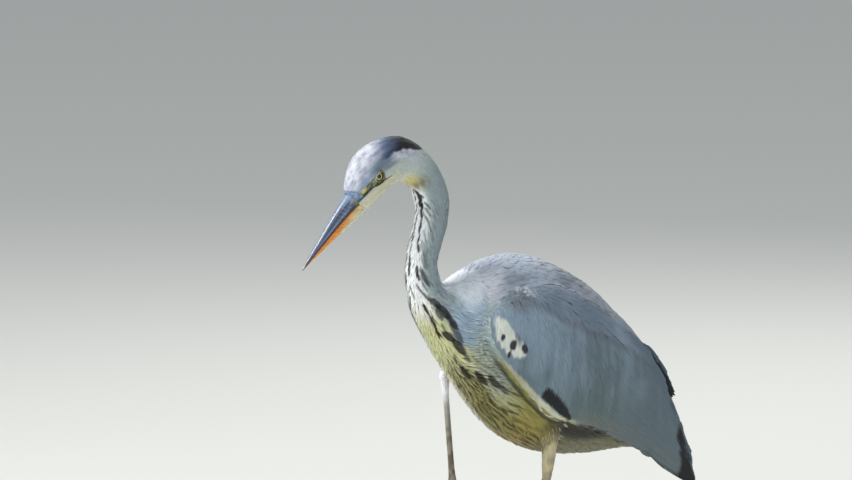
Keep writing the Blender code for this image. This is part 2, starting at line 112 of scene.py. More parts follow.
def blob(x, y, cx, cy, ax, ay, turn=0.0, edge=0.35):
    """1 inside an ellipse of half axes ax, ay, falling to 0 across its edge."""
    c, s = math.cos(turn), math.sin(turn)
    u, v = (x - cx) * c + (y - cy) * s, -(x - cx) * s + (y - cy) * c
    return 1 - smooth(1 - edge, 1 + edge, np.sqrt((u / ax) ** 2 + (v / ay) ** 2))


def along_line(p, sigma=0.010):
    """For points in the tables' frame: the length along the line, its tangent
    and the angle round it, 0 under the throat and belly, + to the right."""
    S = np.empty(len(p))
    T = np.empty((len(p), 2))
    C = np.empty((len(p), 2))
    for a in range(0, len(p), 4000):
        q = p[a:a + 4000]
        d = (q[:, None, 0] - LINE[None, :, 0]) ** 2 + (q[:, None, 2] - LINE[None, :, 1]) ** 2
        w = np.exp(-(d - d.min(axis=1)[:, None]) / (2 * sigma ** 2))
        w /= w.sum(axis=1)[:, None]
        S[a:a + 4000] = w @ LINE_S
        T[a:a + 4000] = w @ LINE_T
        C[a:a + 4000] = w @ LINE
    T /= np.linalg.norm(T, axis=1)[:, None]
    back = (p[:, 0] - C[:, 0]) * -T[:, 1] + (p[:, 2] - C[:, 1]) * T[:, 0]
    return S, T, np.arctan2(p[:, 1], -back), back


# ---------------------------------------------------------------- value noise
def noise(p, scale, seed=0):
    """Smooth value noise in 0..1 at points p, one cell per scale."""
    q = p / scale
    i = np.floor(q).astype(np.int64)
    f = q - i
    f = f * f * (3 - 2 * f)
    out = np.zeros(len(p))
    for dx in (0, 1):
        for dy in (0, 1):
            for dz in (0, 1):
                h = (i[:, 0] + dx) * 73856093 ^ (i[:, 1] + dy) * 19349663 ^ (i[:, 2] + dz) * 83492791 ^ (seed * 2654435761)
                h = (h ^ (h >> 13)) * 1274126177 & 0x7FFFFFFF
                v = (h & 0xFFFF) / 65535.0
                w = (f[:, 0] if dx else 1 - f[:, 0]) * (f[:, 1] if dy else 1 - f[:, 1]) * (f[:, 2] if dz else 1 - f[:, 2])
                out += w * v
    return out


# ---------------------------------------------------------------- camera first
AZ, EL = math.radians(-40.0), math.radians(7.0)
back = Vector((math.sin(AZ) * math.cos(EL), -math.cos(AZ) * math.cos(EL), math.sin(EL)))
camera = bpy.data.objects.new("camera", bpy.data.cameras.new("camera"))
bpy.context.scene.collection.objects.link(camera)
camera.location = (-7.143855, -8.367127, 1.889517)
camera.rotation_mode = "QUATERNION"
camera.rotation_quaternion = (-back).to_track_quat("-Z", "Y")
camera.data.sensor_width = 36.0
camera.data.lens = 375.587
camera.data.clip_start, camera.data.clip_end = 0.5, 60.0
bpy.context.scene.camera = camera


# ---------------------------------------------------------------- mesh helpers
def new_object(name, mesh):
    obj = bpy.data.objects.new(name, mesh)
    bpy.context.scene.collection.objects.link(obj)
    return obj


def node_mesh(name):
    """A CAD node's vertices and faces, its split edges joined again."""
    bm = bmesh.new()
    bm.from_mesh(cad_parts[name].data)
    bmesh.ops.remove_doubles(bm, verts=bm.verts, dist=2e-6)
    bmesh.ops.recalc_face_normals(bm, faces=bm.faces)
    bm.normal_update()
    co = np.array([v.co[:] for v in bm.verts])
    no = np.array([v.normal[:] for v in bm.verts])
    faces = [[v.index for v in f.verts] for f in bm.faces]
    bm.free()
    return co, no, faces


def mesh_of(name, co, faces):
    me = bpy.data.meshes.new(name)
    me.from_pydata([tuple(c) for c in co], [], faces)
    me.update()
    return me


def evaluated(obj, name):
    """The object's mesh with its modifiers applied, as a new mesh."""
    dg = bpy.context.evaluated_depsgraph_get()
    me = bpy.data.meshes.new_from_object(obj.evaluated_get(dg))
    me.name = name
    return me


def remeshed(name, nodes, grow, voxel, relax=0):
    """The union of nodes, each grown, as one closed mesh."""
    co, faces = [], []
    for n in nodes:
        c, no, f = node_mesh(n)
        base = sum(len(x) for x in co)
        co.append(c + no * grow)
        faces += [[i + base for i in face] for face in f]
    obj = new_object(name, mesh_of(name, np.vstack(co), faces))
    mod = obj.modifiers.new("voxel", "REMESH")
    mod.mode, mod.voxel_size, mod.use_smooth_shade = "VOXEL", voxel, True
    if relax:
        mod = obj.modifiers.new("relax", "SMOOTH")
        mod.factor, mod.iterations = 0.5, relax
    bpy.context.view_layer.update()
    me = evaluated(obj, name)
    bpy.data.objects.remove(obj, do_unlink=True)
    return me


def arrays(me):
    co = np.empty(len(me.vertices) * 3, np.float32)
    me.vertices.foreach_get("co", co)
    no = np.empty(len(me.vertices) * 3, np.float32)
    me.vertices.foreach_get("normal", no)
    return co.reshape(-1, 3).astype(float), no.reshape(-1, 3).astype(float)


def set_points(me, co):
    me.vertices.foreach_set("co", np.asarray(co, np.float32).ravel())
    me.update()


def triangles(me):
    me.calc_loop_triangles()
    t = np.empty(len(me.loop_triangles) * 3, np.int32)
    me.loop_triangles.foreach_get("vertices", t)
    return t.reshape(-1, 3)


def linear(c):
    """sRGB 0..1 to linear."""
    c = np.asarray(c, float)
    return np.where(c <= 0.04045, c / 12.92, ((c + 0.055) / 1.055) ** 2.4)


def set_colour(me, rgb):
    rgba = np.ones((len(me.vertices), 4), np.float32)
    rgba[:, :3] = np.clip(rgb, 0, 1)
    a = me.color_attributes.new("plumage", "FLOAT_COLOR", "POINT")
    a.data.foreach_set("color", rgba.ravel())
    me.color_attributes.active_color = a


# ---------------------------------------------------------------- head frame
BILL_AXIS = np.array([-math.sqrt(0.5), 0.0, -math.sqrt(0.5)])
BILL_UP = np.array([-math.sqrt(0.5), 0.0, math.sqrt(0.5)])
BILL_BASE = np.array([-0.3345, 0.0, 0.6465])
EYE_A, EYE_U, EYE_Y, EYE_R = -0.0440, 0.0060, 0.0172, 0.0068   # ahead, up, out, ball
LID_OUT = EYE_Y + 0.0052                                       # the lids' rim


def head_frame(p):
    """Tables to (ahead of the bill's base, up from its axis)."""
    q = p - BILL_BASE
    return q @ BILL_AXIS, q @ BILL_UP


def head_point(a, u, y):
    return BILL_BASE + BILL_AXIS * a + BILL_UP * u + np.array([0.0, y, 0.0])


# ---------------------------------------------------------------- skin
FLESH = ["trunk", "neck_lower", "neck_middle", "neck_upper", "head", "tail", "wing_left", "wing_right", "thigh_left", "thigh_right"]
LIMBS = {w: ["tibia_" + w, "tarsus_" + w] + ["toe_%s_%s" % (t, w) for t in ("hind", "inner", "middle", "outer")] for w in ("left", "right")}

label_co, label_faces, label_of = [], [], []
for k, name in enumerate(FLESH):
    c, no, f = node_mesh(name)
    base = sum(len(x) for x in label_co)
    label_co.append(c)
    label_faces += [[i + base for i in face] for face in f]
    label_of += [k] * len(f)
LABEL_TREE = BVHTree.FromPolygons([tuple(c) for c in np.vstack(label_co)], label_faces)


def labels(points):
    """Which flesh node each point lies by."""
    return np.array([label_of[LABEL_TREE.find_nearest(tuple(p))[2]] for p in points])


IS = {name: k for k, name in enumerate(FLESH)}
HEAD_GROW, BODY_GROW, LEG_GROW = 0.0009, 0.0034, 0.0004


def coat_depth(p, lab):
    """How deep the skin lies under the feathers' outline, in metres."""
    t = table(p)
    S = along_line(t)[0]
    s, n = trunk_frame(t)
    d = 0.0008 + 0.0010 * smooth(0.02, 0.09, S) + 0.0006 * smooth(0.10, 0.20, S) + 0.0018 * smooth(0.26, 0.38, S)
    wing = (lab == IS["wing_left"]) | (lab == IS["wing_right"])
    d = np.where(wing, 0.0026 - 0.0020 * smooth(0.04, 0.22, s), d)
    d = np.where(lab == IS["tail"], 0.0030 - 0.0022 * smooth(0.17, 0.25, s), d)
    d = np.where((lab == IS["thigh_left"]) | (lab == IS["thigh_right"]), 0.0018, d)
    return d


def shape_head(p):
    """Folds of the face, in the tables' frame: lore, brow, gape, eye's seat."""
    a, u = head_frame(p)
    side = np.sign(p[:, 1])
    out = np.abs(p[:, 1])
    on = smooth(0.006, 0.012, out)
    push = -0.0016 * blob(a, u, -0.018, 0.0045, 0.017, 0.0048, -0.10, 0.5)
    push += 0.0011 * blob(a, u, -0.040, 0.0165, 0.020, 0.0042, -0.12, 0.6)
    push += 0.0007 * blob(a, u, -0.028, -0.0045, 0.026, 0.0026, -0.08, 0.6)
    push += 0.0008 * blob(a, u, -0.052, -0.0070, 0.012, 0.0060, 0.0, 0.8)
    r = np.hypot((a - EYE_A) / 1.10, u - EYE_U)
    seat = 1 - smooth(0.0062, 0.0098, r)
    rim = LID_OUT - 0.0006
    moved = out + push * on
    moved = moved * (1 - seat) + np.minimum(moved, rim) * seat
    q = p.copy()
    q[:, 1] = side * moved
    return q


head_me = remeshed("skin_head", ["head", "neck_upper"], HEAD_GROW, 0.0011, relax=3)
co, no = arrays(head_me)
lab = labels(co)
# each of the two skins dips under the other where they overlap on the neck
dip = 0.0014 * smooth(0.142, 0.170, along_line(table(co))[0])
co = co - no * (HEAD_GROW + coat_depth(co, lab) + dip)[:, None]
co = place(shape_head(table(co)))
set_points(head_me, co)

body_me = remeshed("skin_body", [n for n in FLESH if n != "head"], BODY_GROW, 0.0027, relax=4)
co, no = arrays(body_me)
lab = labels(co)
dip = 0.0014 * smooth(0.155, 0.128, along_line(table(co))[0])
co = co - no * (BODY_GROW + coat_depth(co, lab) + dip)[:, None]
set_points(body_me, co)
smoother = new_object("smoother", body_me)
mod = smoother.modifiers.new("relax", "SMOOTH")
mod.factor, mod.iterations = 0.4, 2
body_me = evaluated(smoother, "skin_body")
bpy.data.objects.remove(smoother, do_unlink=True)


# feathered skin runs out under the lower half of the bill, between its rami
GULAR = [     # along the bill, half width, lowest, highest
    (-0.016, 0.0105, -0.0205, -0.0060), (0.000, 0.0098, -0.0196, -0.0060), (0.012, 0.0086, -0.0178, -0.0055), (0.025, 0.0070, -0.0153, -0.0050),
    (0.038, 0.0053, -0.0125, -0.0046), (0.050, 0.0035, -0.0100, -0.0046), (0.058, 0.0016, -0.0082, -0.0050),
]


def gular():
    rows, around = spline(GULAR, 34), 20
    verts = []
    for d, w, lo, hi in rows:
        for k in range(around):
            a = 2 * math.pi * k / around
            verts.append(head_point(d, 0.5 * (lo + hi) + 0.5 * (hi - lo) * math.cos(a), w * math.sin(a)))
    faces = [(r * around + k, r * around + (k + 1) % around, (r + 1) * around + (k + 1) % around, (r + 1) * around + k)
             for r in range(len(rows) - 1) for k in range(around)]
    faces += [tuple(range(around))[::-1], tuple((len(rows) - 1) * around + k for k in range(around))]
    me = mesh_of("skin_gular", place(np.array(verts)), faces)
    bm = bmesh.new()
    bm.from_mesh(me)
    bmesh.ops.recalc_face_normals(bm, faces=bm.faces)
    bmesh.ops.triangulate(bm, faces=bm.faces)
    bm.to_mesh(me)
    bm.free()
    return me


# ---------------------------------------------------------------- legs' skin
def limb_frame(name):
    """The long axis of a node: its middle, direction and half length."""
    c = node_mesh(name)[0]
    mid = c.mean(axis=0)
    w, v = np.linalg.eigh(np.cov((c - mid).T))
    d = v[:, 2]
    t = (c - mid) @ d
    return mid + d * 0.5 * (t.max() + t.min()), d, 0.5 * (t.max() - t.min())


LIMB_FRAMES = {n: limb_frame(n) for w in LIMBS for n in LIMBS[w]}
leg_meshes = []
for word in ("left", "right"):
    me = remeshed("skin_leg_" + word, LIMBS[word], LEG_GROW, 0.00075, relax=2)
    co, no = arrays(me)
    # which limb each point lies by
    co_l, fa_l, of_l = [], [], []
    for k, n in enumerate(LIMBS[word]):
        c, _, f = node_mesh(n)
        base = sum(len(x) for x in co_l)
        co_l.append(c)
        fa_l += [[i + base for i in face] for face in f]
        of_l += [k] * len(f)
    tree = BVHTree.FromPolygons([tuple(c) for c in np.vstack(co_l)], fa_l)
    near = np.array([of_l[tree.find_nearest(tuple(p))[2]] for p in co])
    lift = np.zeros(len(co))
    for k, n in enumerate(LIMBS[word]):
        on = near == k
        mid, d, half = LIMB_FRAMES[n]
        t = (co[on] - mid) @ d
        around = co[on] - mid - np.outer(t, d)
        front = np.array([-1.0, 0.0, 0.0]) if not n.startswith("toe") else np.array([0.0, 0.0, 1.0])
        if n.startswith("toe") and word == "right":
            front = np.array([-1.0, 0.0, 0.2])
        front = front - d * (front @ d)
        front /= np.linalg.norm(front)
        facing = (around / (np.linalg.norm(around, axis=1)[:, None] + 1e-9)) @ front
        pitch = 0.0036 if not n.startswith("toe") else 0.0024
        # broad overlapping scutes in front, a net of small ones behind
        phase = t / pitch
        step = phase - np.floor(phase)
        scute = 0.00042 * (step ** 1.6) - 0.00016
        net = 0.00022 * np.sin(2 * math.pi * t / 0.0019) * np.sin(2 * math.pi * np.arctan2(*(around @ np.array([np.cross(d, front), front]).T).T) * 1.3)
        w = smooth(0.05, 0.45, facing)
        lift[on] = scute * w + net * (1 - w)
        if not n.startswith("toe"):
            lift[on] *= 0.85
    co = co - no * LEG_GROW + no * lift[:, None]
    # the shank's upper end reaches up into the feathered thigh
    mid, d, half = LIMB_FRAMES["tibia_" + word]
    d = d * np.sign((node_mesh("thigh_" + word)[0].mean(axis=0) - mid) @ d)
    co = co + d * (0.0080 * (near == 0) * smooth(half - 0.0045, half - 0.0010, (co - mid) @ d))[:, None]
    co[:, 2] = np.maximum(co[:, 2], 0.0)
    set_points(me, co)
    leg_meshes.append(me)


def union(base_mesh, others, name):
    """One closed mesh of all of them."""
    obj = new_object(name, base_mesh)
    extras = []
    for m in others:
        e = new_object("extra_" + m.name, m)
        extras.append(e)
        mod = obj.modifiers.new("join_" + m.name, "BOOLEAN")
        mod.operation, mod.solver, mod.object = "UNION", "MANIFOLD", e
    bpy.context.view_layer.update()
    me = evaluated(obj, name)
    for e in extras + [obj]:
        bpy.data.objects.remove(e, do_unlink=True)
    return me


skin_me = union(body_me, [head_me, gular()] + leg_meshes, "skin")
skin = new_object("skin", skin_me)
for poly in (skin_me.polygons,):
    poly.foreach_set("use_smooth", [True] * len(poly))
SKIN_CO, SKIN_NO = arrays(skin_me)
SKIN_TRI = triangles(skin_me)
print("skin", len(SKIN_CO), "points", len(SKIN_TRI), "triangles")


# ---------------------------------------------------------------- materials
def links(m):
    return m.node_tree.nodes, m.node_tree.links


def add(nodes, kind, **values):
    n = nodes.new(kind)
    for k, v in values.items():
        if hasattr(n, k):
            setattr(n, k, v)
        else:
            n.inputs[k.replace("_", " ")].default_value = v
    return n


def material(name, rough, attribute="plumage", specular=0.5, sheen=0.0, coat=0.0):
    """A principled material, and a node that reads the mesh's own colour for the caller to link."""
    m = bpy.data.materials.new(name)
    m.use_nodes = True
    nodes, link = links(m)
    b = nodes["Principled BSDF"]
    b.inputs["Roughness"].default_value = rough
    b.inputs["Specular IOR Level"].default_value = specular
    if sheen:
        b.inputs["Sheen Weight"].default_value = sheen
        b.inputs["Sheen Roughness"].default_value = 0.5
    if coat:
        b.inputs["Coat Weight"].default_value = coat
        b.inputs["Coat Roughness"].default_value = 0.08
    colour = add(nodes, "ShaderNodeAttribute", attribute_name=attribute)
    return m, b, colour


def mottled(m, b, colour, scale, amount, bump=0.0, bump_scale=400.0, depth=0.0002):
    """Multiplies the colour by fine noise and bumps the surface."""
    nodes, link = links(m)
    place_ = add(nodes, "ShaderNodeTexCoord")
    grain = add(nodes, "ShaderNodeTexNoise", Scale=scale, Detail=4.0)
    link.new(place_.outputs["Object"], grain.inputs["Vector"])
    ramp = nodes.new("ShaderNodeMapRange")
    ramp.inputs["From Min"].default_value, ramp.inputs["From Max"].default_value = 0.25, 0.75
    ramp.inputs["To Min"].default_value, ramp.inputs["To Max"].default_value = 1 - amount, 1 + amount
    link.new(grain.outputs["Fac"], ramp.inputs["Value"])
    mul = nodes.new("ShaderNodeVectorMath")
    mul.operation = "SCALE"
    link.new(colour.outputs["Color"], mul.inputs[0])
    link.new(ramp.outputs["Result"], mul.inputs["Scale"])
    link.new(mul.outputs["Vector"], b.inputs["Base Color"])
    if bump:
        fine = add(nodes, "ShaderNodeTexNoise", Scale=bump_scale, Detail=3.0)
        link.new(place_.outputs["Object"], fine.inputs["Vector"])
        bn = nodes.new("ShaderNodeBump")
        bn.inputs["Strength"].default_value = bump
        bn.inputs["Distance"].default_value = depth
        link.new(fine.outputs["Fac"], bn.inputs["Height"])
        link.new(bn.outputs["Normal"], b.inputs["Normal"])
    return m


def srgb(r, g, b):
    return linear(np.array([r, g, b]))


def mix(a, b, w):
    w = np.asarray(w)[..., None]
    return a * (1 - w) + b * w


# ---------------------------------------------------------------- bill
BILL = [      # along, half width, ridge, mouth line, underside
    (0.000, 0.0122, 0.0172, 0.0000, -0.0192), (0.015, 0.0108, 0.0164, 0.0018, -0.0168), (0.035, 0.0089, 0.0147, 0.0031, -0.0131),
    (0.060, 0.0068, 0.0120, 0.0038, -0.0082), (0.085, 0.0047, 0.0091, 0.0040, -0.0032), (0.105, 0.0029, 0.0067, 0.0038, 0.0006),
    (0.116, 0.0015, 0.0050, 0.0034, 0.0022), (0.120, 0.0007, 0.0040, 0.0032, 0.0026),
]


def bill_half(name, upper, along=90, arc=33):
    """One half of the bill: a ridge, a groove with the nostril, sharp edges."""
    rows = spline(BILL, along)
    rows[0, 0] = -0.006                      # runs in under the skin
    verts, rgb = [], []
    for d, w, ridge, mouth, under in rows:
        lo, hi = (mouth + 0.00022, ridge) if upper else (mouth - 0.00022, under)
        if d < 0:
            w, hi = w * 0.86, lo + (hi - lo) * 0.88
        ring = []
        for k in range(arc):
            a = math.pi * k / (arc - 1)
            side = math.cos(a)
            rise = abs(math.sin(a)) ** (0.90 if upper else 0.80)
            y = w * side
            if upper:
                # narrower above the groove, so that the ridge stands up
                y *= 1 - 0.10 * smooth(0.25, 0.8, rise) * smooth(0.112, 0.03, d)
                g = math.exp(-((rise - 0.60) / 0.10) ** 2) * smooth(-0.002, 0.010, d) * smooth(0.088, 0.045, d)
                y -= math.copysign(0.00095 * g, side) if abs(side) > 0.05 else 0.0
                slot = math.exp(-((rise - 0.60) / 0.055) ** 2) * smooth(0.004, 0.007, d) * smooth(0.019, 0.015, d)
                y -= math.copysign(0.0013 * slot, side) if abs(side) > 0.05 else 0.0
            else:
                # the two rami meet in a keel a third of the way out
                y *= 1 - 0.10 * smooth(0.3, 0.9, rise)
            ring.append(head_point(d, lo + (hi - lo) * rise, y))
            top = rise
            if upper:
                slate = mix(srgb(0.17, 0.20, 0.30), srgb(0.29, 0.35, 0.48), np.array(smooth(0.35, 0.95, top)))
                groove = math.exp(-((top - 0.60) / 0.14) ** 2) * smooth(0.10, 0.02, d)
                c = mix(slate, srgb(0.13, 0.15, 0.20), np.array(0.75 * groove))
                streak = math.exp(-((top - 0.33) / 0.09) ** 2) * smooth(0.0, 0.02, d) * smooth(0.115, 0.06, d)
                c = mix(c, srgb(0.56, 0.62, 0.72), np.array(0.62 * streak))
                c = mix(c, srgb(0.58, 0.63, 0.64), np.array(0.62 * smooth(0.93, 0.992, top) * smooth(0.0, 0.03, d)))
                worn = math.sin(d * 760 + top * 11) * math.sin(d * 330 - top * 17 + side * 2)
                c = mix(c, srgb(0.45, 0.52, 0.64) if worn > 0 else srgb(0.13, 0.16, 0.24), np.array(0.45 * smooth(0.15, 0.8, abs(worn)) * smooth(0.062, 0.030, d)))
                c = mix(c, srgb(0.50, 0.58, 0.70), np.array(0.70 * smooth(0.030, 0.004, d) * smooth(0.35, 0.8, top)))
                c = mix(c, srgb(0.62, 0.66, 0.52), np.array(0.55 * smooth(0.010, -0.002, d) * smooth(0.75, 0.35, top)))
                c = mix(c, srgb(0.12, 0.11, 0.10), np.array(0.8 * smooth(0.10, 0.02, top)))
                c = mix(c, srgb(0.72, 0.72, 0.62), np.array(0.55 * smooth(0.110, 0.119, d)))
            else:
                orange = mix(srgb(0.87, 0.51, 0.12), srgb(0.88, 0.66, 0.34), np.array(smooth(0.35, 1.0, top)))
                cream = mix(srgb(0.84, 0.76, 0.54), srgb(0.89, 0.87, 0.72), np.array(smooth(0.3, 1.0, top)))
                c = mix(orange, cream, np.array(smooth(0.074, 0.030, d + 0.042 * (1 - top))))
                c = mix(c, srgb(0.35, 0.22, 0.10), np.array(0.75 * smooth(0.12, 0.02, top)))
            rgb.append(c)
        # the flat inside, towards the other half
        for f in (-0.6, 0.0, 0.6):
            ring.append(head_point(d, lo + (0.0004 if upper else -0.0004), w * f * 0.9))
            rgb.append(srgb(0.45, 0.28, 0.20))
        verts += ring
    m = arc + 3
    faces = []
    for r in range(along - 1):
        for k in range(m):
            a, b2 = r * m + k, r * m + (k + 1) % m
            faces.append((a, b2, b2 + m, a + m) if upper else (a, a + m, b2 + m, b2))
    ends = [tuple(range(m)), tuple(range((along - 1) * m, along * m))]
    faces += [ends[0][::-1], ends[1]] if upper else [ends[0], ends[1][::-1]]
    me = mesh_of(name, place(np.array(verts)), faces)
    bm = bmesh.new()
    bm.from_mesh(me)
    bmesh.ops.recalc_face_normals(bm, faces=bm.faces)
    bm.to_mesh(me)
    bm.free()
    set_colour(me, np.array(rgb))
    me.shade_smooth()
    me.set_sharp_from_angle(angle=math.radians(50))
    obj = new_object(name, me)
    return obj


def horn_material(name, rough, coat):
    """Horn: fine growth lines along the bill, slightly worn."""
    m, b, colour = material(name, rough, coat=coat)
    nodes, link = links(m)
    at = add(nodes, "ShaderNodeTexCoord")
    turn = nodes.new("ShaderNodeMapping")
    turn.inputs["Rotation"].default_value = (0.0, math.radians(-45.0), 0.0)
    turn.inputs["Scale"].default_value = (18.0, 260.0, 260.0)
    link.new(at.outputs["Object"], turn.inputs["Vector"])
    lines = add(nodes, "ShaderNodeTexNoise", Scale=1.6, Detail=5.0)
    link.new(turn.outputs["Vector"], lines.inputs["Vector"])
    span = nodes.new("ShaderNodeMapRange")
    span.inputs["From Min"].default_value, span.inputs["From Max"].default_value = 0.3, 0.7
    span.inputs["To Min"].default_value, span.inputs["To Max"].default_value = 0.74, 1.24
    link.new(lines.outputs["Fac"], span.inputs["Value"])
    mul = nodes.new("ShaderNodeVectorMath")
    mul.operation = "SCALE"
    link.new(colour.outputs["Color"], mul.inputs[0])
    link.new(span.outputs["Result"], mul.inputs["Scale"])
    link.new(mul.outputs["Vector"], b.inputs["Base Color"])
    bn = nodes.new("ShaderNodeBump")
    bn.inputs["Strength"].default_value, bn.inputs["Distance"].default_value = 0.35, 0.0003
    link.new(lines.outputs["Fac"], bn.inputs["Height"])
    link.new(bn.outputs["Normal"], b.inputs["Normal"])
    return m


bill_mat = horn_material("bill_horn", 0.34, 0.25)
bills = []
for name, upper, slot_name in (("bill_top", True, "bill_slate"), ("bill_under", False, "bill_orange")):
    obj = bill_half(name, upper)
    obj.data.materials.append(bill_mat)
    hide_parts("bill_upper" if upper else "bill_lower")
    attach(obj, "root")
    bills.append(obj)

# ---------------------------------------------------------------- eyes, lids
# Long axis of the lids' opening, in the head's frame: towards the bill and down.
LID_TILT = math.radians(8.0)
LID_A, LID_U = 0.0058, 0.0043


def eye_material():
    """Yellow iris with fine rays and a dark rim round a black pupil."""
    m, b, colour = material("eye_iris", 0.22, coat=0.45)
    nodes, link = links(m)
    link.new(colour.outputs["Color"], b.inputs["Base Color"])
    b.inputs["Coat Roughness"].default_value = 0.05
    return m


eye_mat = eye_material()
lid_bits = []
for word, side in (("left", LEFT), ("right", RIGHT)):
    look = np.array([-0.30, side, 0.02])
    look /= np.linalg.norm(look)
    across = np.cross(look, (0, 0, 1.0))
    across /= np.linalg.norm(across)
    upward = np.cross(across, look)
    centre = head_point(EYE_A, EYE_U, side * EYE_Y)
    rows_, segs = 72, 72
    verts, rgb, faces = [], [], []
    for i in range(rows_ + 1):
        t = math.pi * i / rows_
        for j in range(segs):
            a = 2 * math.pi * j / segs
            bulge = 1.0 + 0.055 * math.exp(-(t / 0.42) ** 2)       # cornea
            v = look * math.cos(t) + (across * math.cos(a) + upward * math.sin(a)) * math.sin(t)
            verts.append(centre + v * EYE_R * bulge)
            ray = 0.5 + 0.5 * math.sin(a * 37 + 3 * math.sin(a * 11) + t * 9)
            iris = mix(srgb(0.80, 0.77, 0.40), srgb(0.62, 0.585, 0.24), np.array(ray * 0.8))
            iris = mix(iris, srgb(0.90, 0.88, 0.60), np.array(math.exp(-((t - 0.53) / 0.06) ** 2) * 0.6))
            c = mix(srgb(0.010, 0.010, 0.012), iris, np.array(smooth(0.455, 0.485, t)))
            c = mix(c, srgb(0.13, 0.11, 0.05), np.array(smooth(0.70, 0.80, t)))
            rgb.append(c)
    for i in range(rows_):
        for j in range(segs):
            a0, a1 = i * segs + j, i * segs + (j + 1) % segs
            if i == 0:
                faces.append((a0, a1 + segs, a0 + segs))
            elif i == rows_ - 1:
                faces.append((a0, a1, a0 + segs))
            else:
                faces.append((a0, a1, a1 + segs, a0 + segs))
    me = mesh_of("eyeball_" + word, place(np.array(verts)), faces)
    set_colour(me, np.array(rgb))
    bm = bmesh.new()
    bm.from_mesh(me)
    bmesh.ops.remove_doubles(bm, verts=bm.verts, dist=1e-7)
    bmesh.ops.recalc_face_normals(bm, faces=bm.faces)
    bm.to_mesh(me)
    bm.free()
    me.shade_smooth()
    me.materials.append(eye_mat)
    eye = new_object("eyeball_" + word, me)
    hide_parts("eye_" + word)
    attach(eye, "root")

    # lids: a fleshy rim round an almond opening, pointed towards the bill
    seg, prof = 96, 11
    verts, rgb, faces = [], [], []
    for j in range(seg):
        a = 2 * math.pi * j / seg
        front = max(0.0, math.cos(a)) ** 6
        rear = max(0.0, -math.cos(a)) ** 8
        for i in range(prof):
            f = i / (prof - 1)
            out = f * 0.0036
            ru = (LID_A * (1 + 0.20 * front + 0.10 * rear) + out) * math.cos(a)
            rv = (LID_U * (1 - 0.05 * (math.sin(a) > 0)) + out) * math.sin(a)
            da = ru * math.cos(LID_TILT) - rv * math.sin(LID_TILT)
            du = ru * math.sin(LID_TILT) + rv * math.cos(LID_TILT)
            rr = math.hypot(da, du)
            ball_y = math.sqrt(max(EYE_R ** 2 * 1.03 - rr ** 2, 0.0)) if rr < EYE_R else 0.0
            inner = EYE_Y + ball_y + 0.0001
            crest = LID_OUT + 0.0005 + 0.0005 * (math.sin(a) > 0) * math.sin(a)
            y = inner * (1 - smooth(0.0, 0.16, f)) + crest * smooth(0.0, 0.16, f)
            y = y - 0.0030 * smooth(0.35, 1.0, f)
            y += 0.00016 * math.sin(a * 30) * math.exp(-((f - 0.22) / 0.12) ** 2)
            verts.append(head_point(EYE_A + da, EYE_U + du, side * y))
            # the lids paler towards their upper front: a painted highlight where the light falls on them
            c = mix(srgb(0.12, 0.11, 0.06), mix(srgb(0.36, 0.35, 0.18), srgb(0.66, 0.69, 0.58), np.array(smooth(-0.3, 0.8, 0.6 * math.cos(a) + 0.8 * math.sin(a)))), np.array(smooth(0.04, 0.20, f)))
            c = mix(c, mix(srgb(0.44, 0.43, 0.22), srgb(0.42, 0.47, 0.50), np.array(smooth(-0.1, 0.5, math.sin(a)))), np.array(smooth(0.40, 0.90, f)))
            rgb.append(c)
    for j in range(seg):
        for i in range(prof - 1):
            a0, a1 = j * prof + i, ((j + 1) % seg) * prof + i
            faces.append((a0, a1, a1 + 1, a0 + 1))
    me = mesh_of("eyelids_" + word, place(np.array(verts)), faces)
    set_colour(me, np.array(rgb))
    bm = bmesh.new()
    bm.from_mesh(me)
    bmesh.ops.recalc_face_normals(bm, faces=bm.faces)
    bm.normal_update()
    if sum(f.normal.y * side for f in bm.faces) < 0:
        bmesh.ops.reverse_faces(bm, faces=bm.faces)
    bm.to_mesh(me)
    bm.free()
    me.shade_smooth()
    lid = new_object("eyelids_" + word, me)
    thick = lid.modifiers.new("thick", "SOLIDIFY")
    thick.thickness, thick.offset = 0.0007, -1.0
    lid_bits.append(lid)
    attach(lid, "root")

lid_mat = mottled(*material("lid_skin", 0.42, specular=0.4), 900.0, 0.18, 0.5, 2600.0, 0.00012)
for lid in lid_bits:
    lid.data.materials.append(lid_mat)

# ---------------------------------------------------------------- claws
claw_mat = mottled(*material("claw_horn", 0.30, coat=0.3), 500.0, 0.25, 0.3, 1500.0, 0.0001)
for w in ("left", "right"):
    for t in ("hind", "inner", "middle", "outer"):
        name = "claw_%s_%s" % (t, w)
        co, no, faces = node_mesh(name)
        obj = new_object("horn_%s_%s" % (t, w), mesh_of(name + "_fine", co, faces))
        sub = obj.modifiers.new("round", "SUBSURF")
        sub.levels = sub.render_levels = 2
        bpy.context.view_layer.update()
        me = evaluated(obj, "horn_%s_%s" % (t, w))
        obj.modifiers.clear()
        obj.data = me
        c, _ = arrays(me)
        c[:, 2] = np.maximum(c[:, 2], 0.0)
        set_points(me, c)
        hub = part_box("tarsus_" + w)[0]
        far = np.linalg.norm(c - np.array(hub), axis=1)
        f = (far - far.min()) / (np.ptp(far) + 1e-9)
        set_colour(me, mix(srgb(0.20, 0.17, 0.14), srgb(0.09, 0.08, 0.08), f))
        me.shade_smooth()
        me.materials.append(claw_mat)
        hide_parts(name)
        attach(obj, "root")


# ---------------------------------------------------------------- markings
INK, BROWN = srgb(0.055, 0.060, 0.075), srgb(0.17, 0.145, 0.12)


def midline(S):
    """Where the foreneck's middle lies: the neck is turned a little."""
    return -NECK_TURN * smooth(0.14, 0.24, S) * (1 - smooth(0.36, 0.46, S))


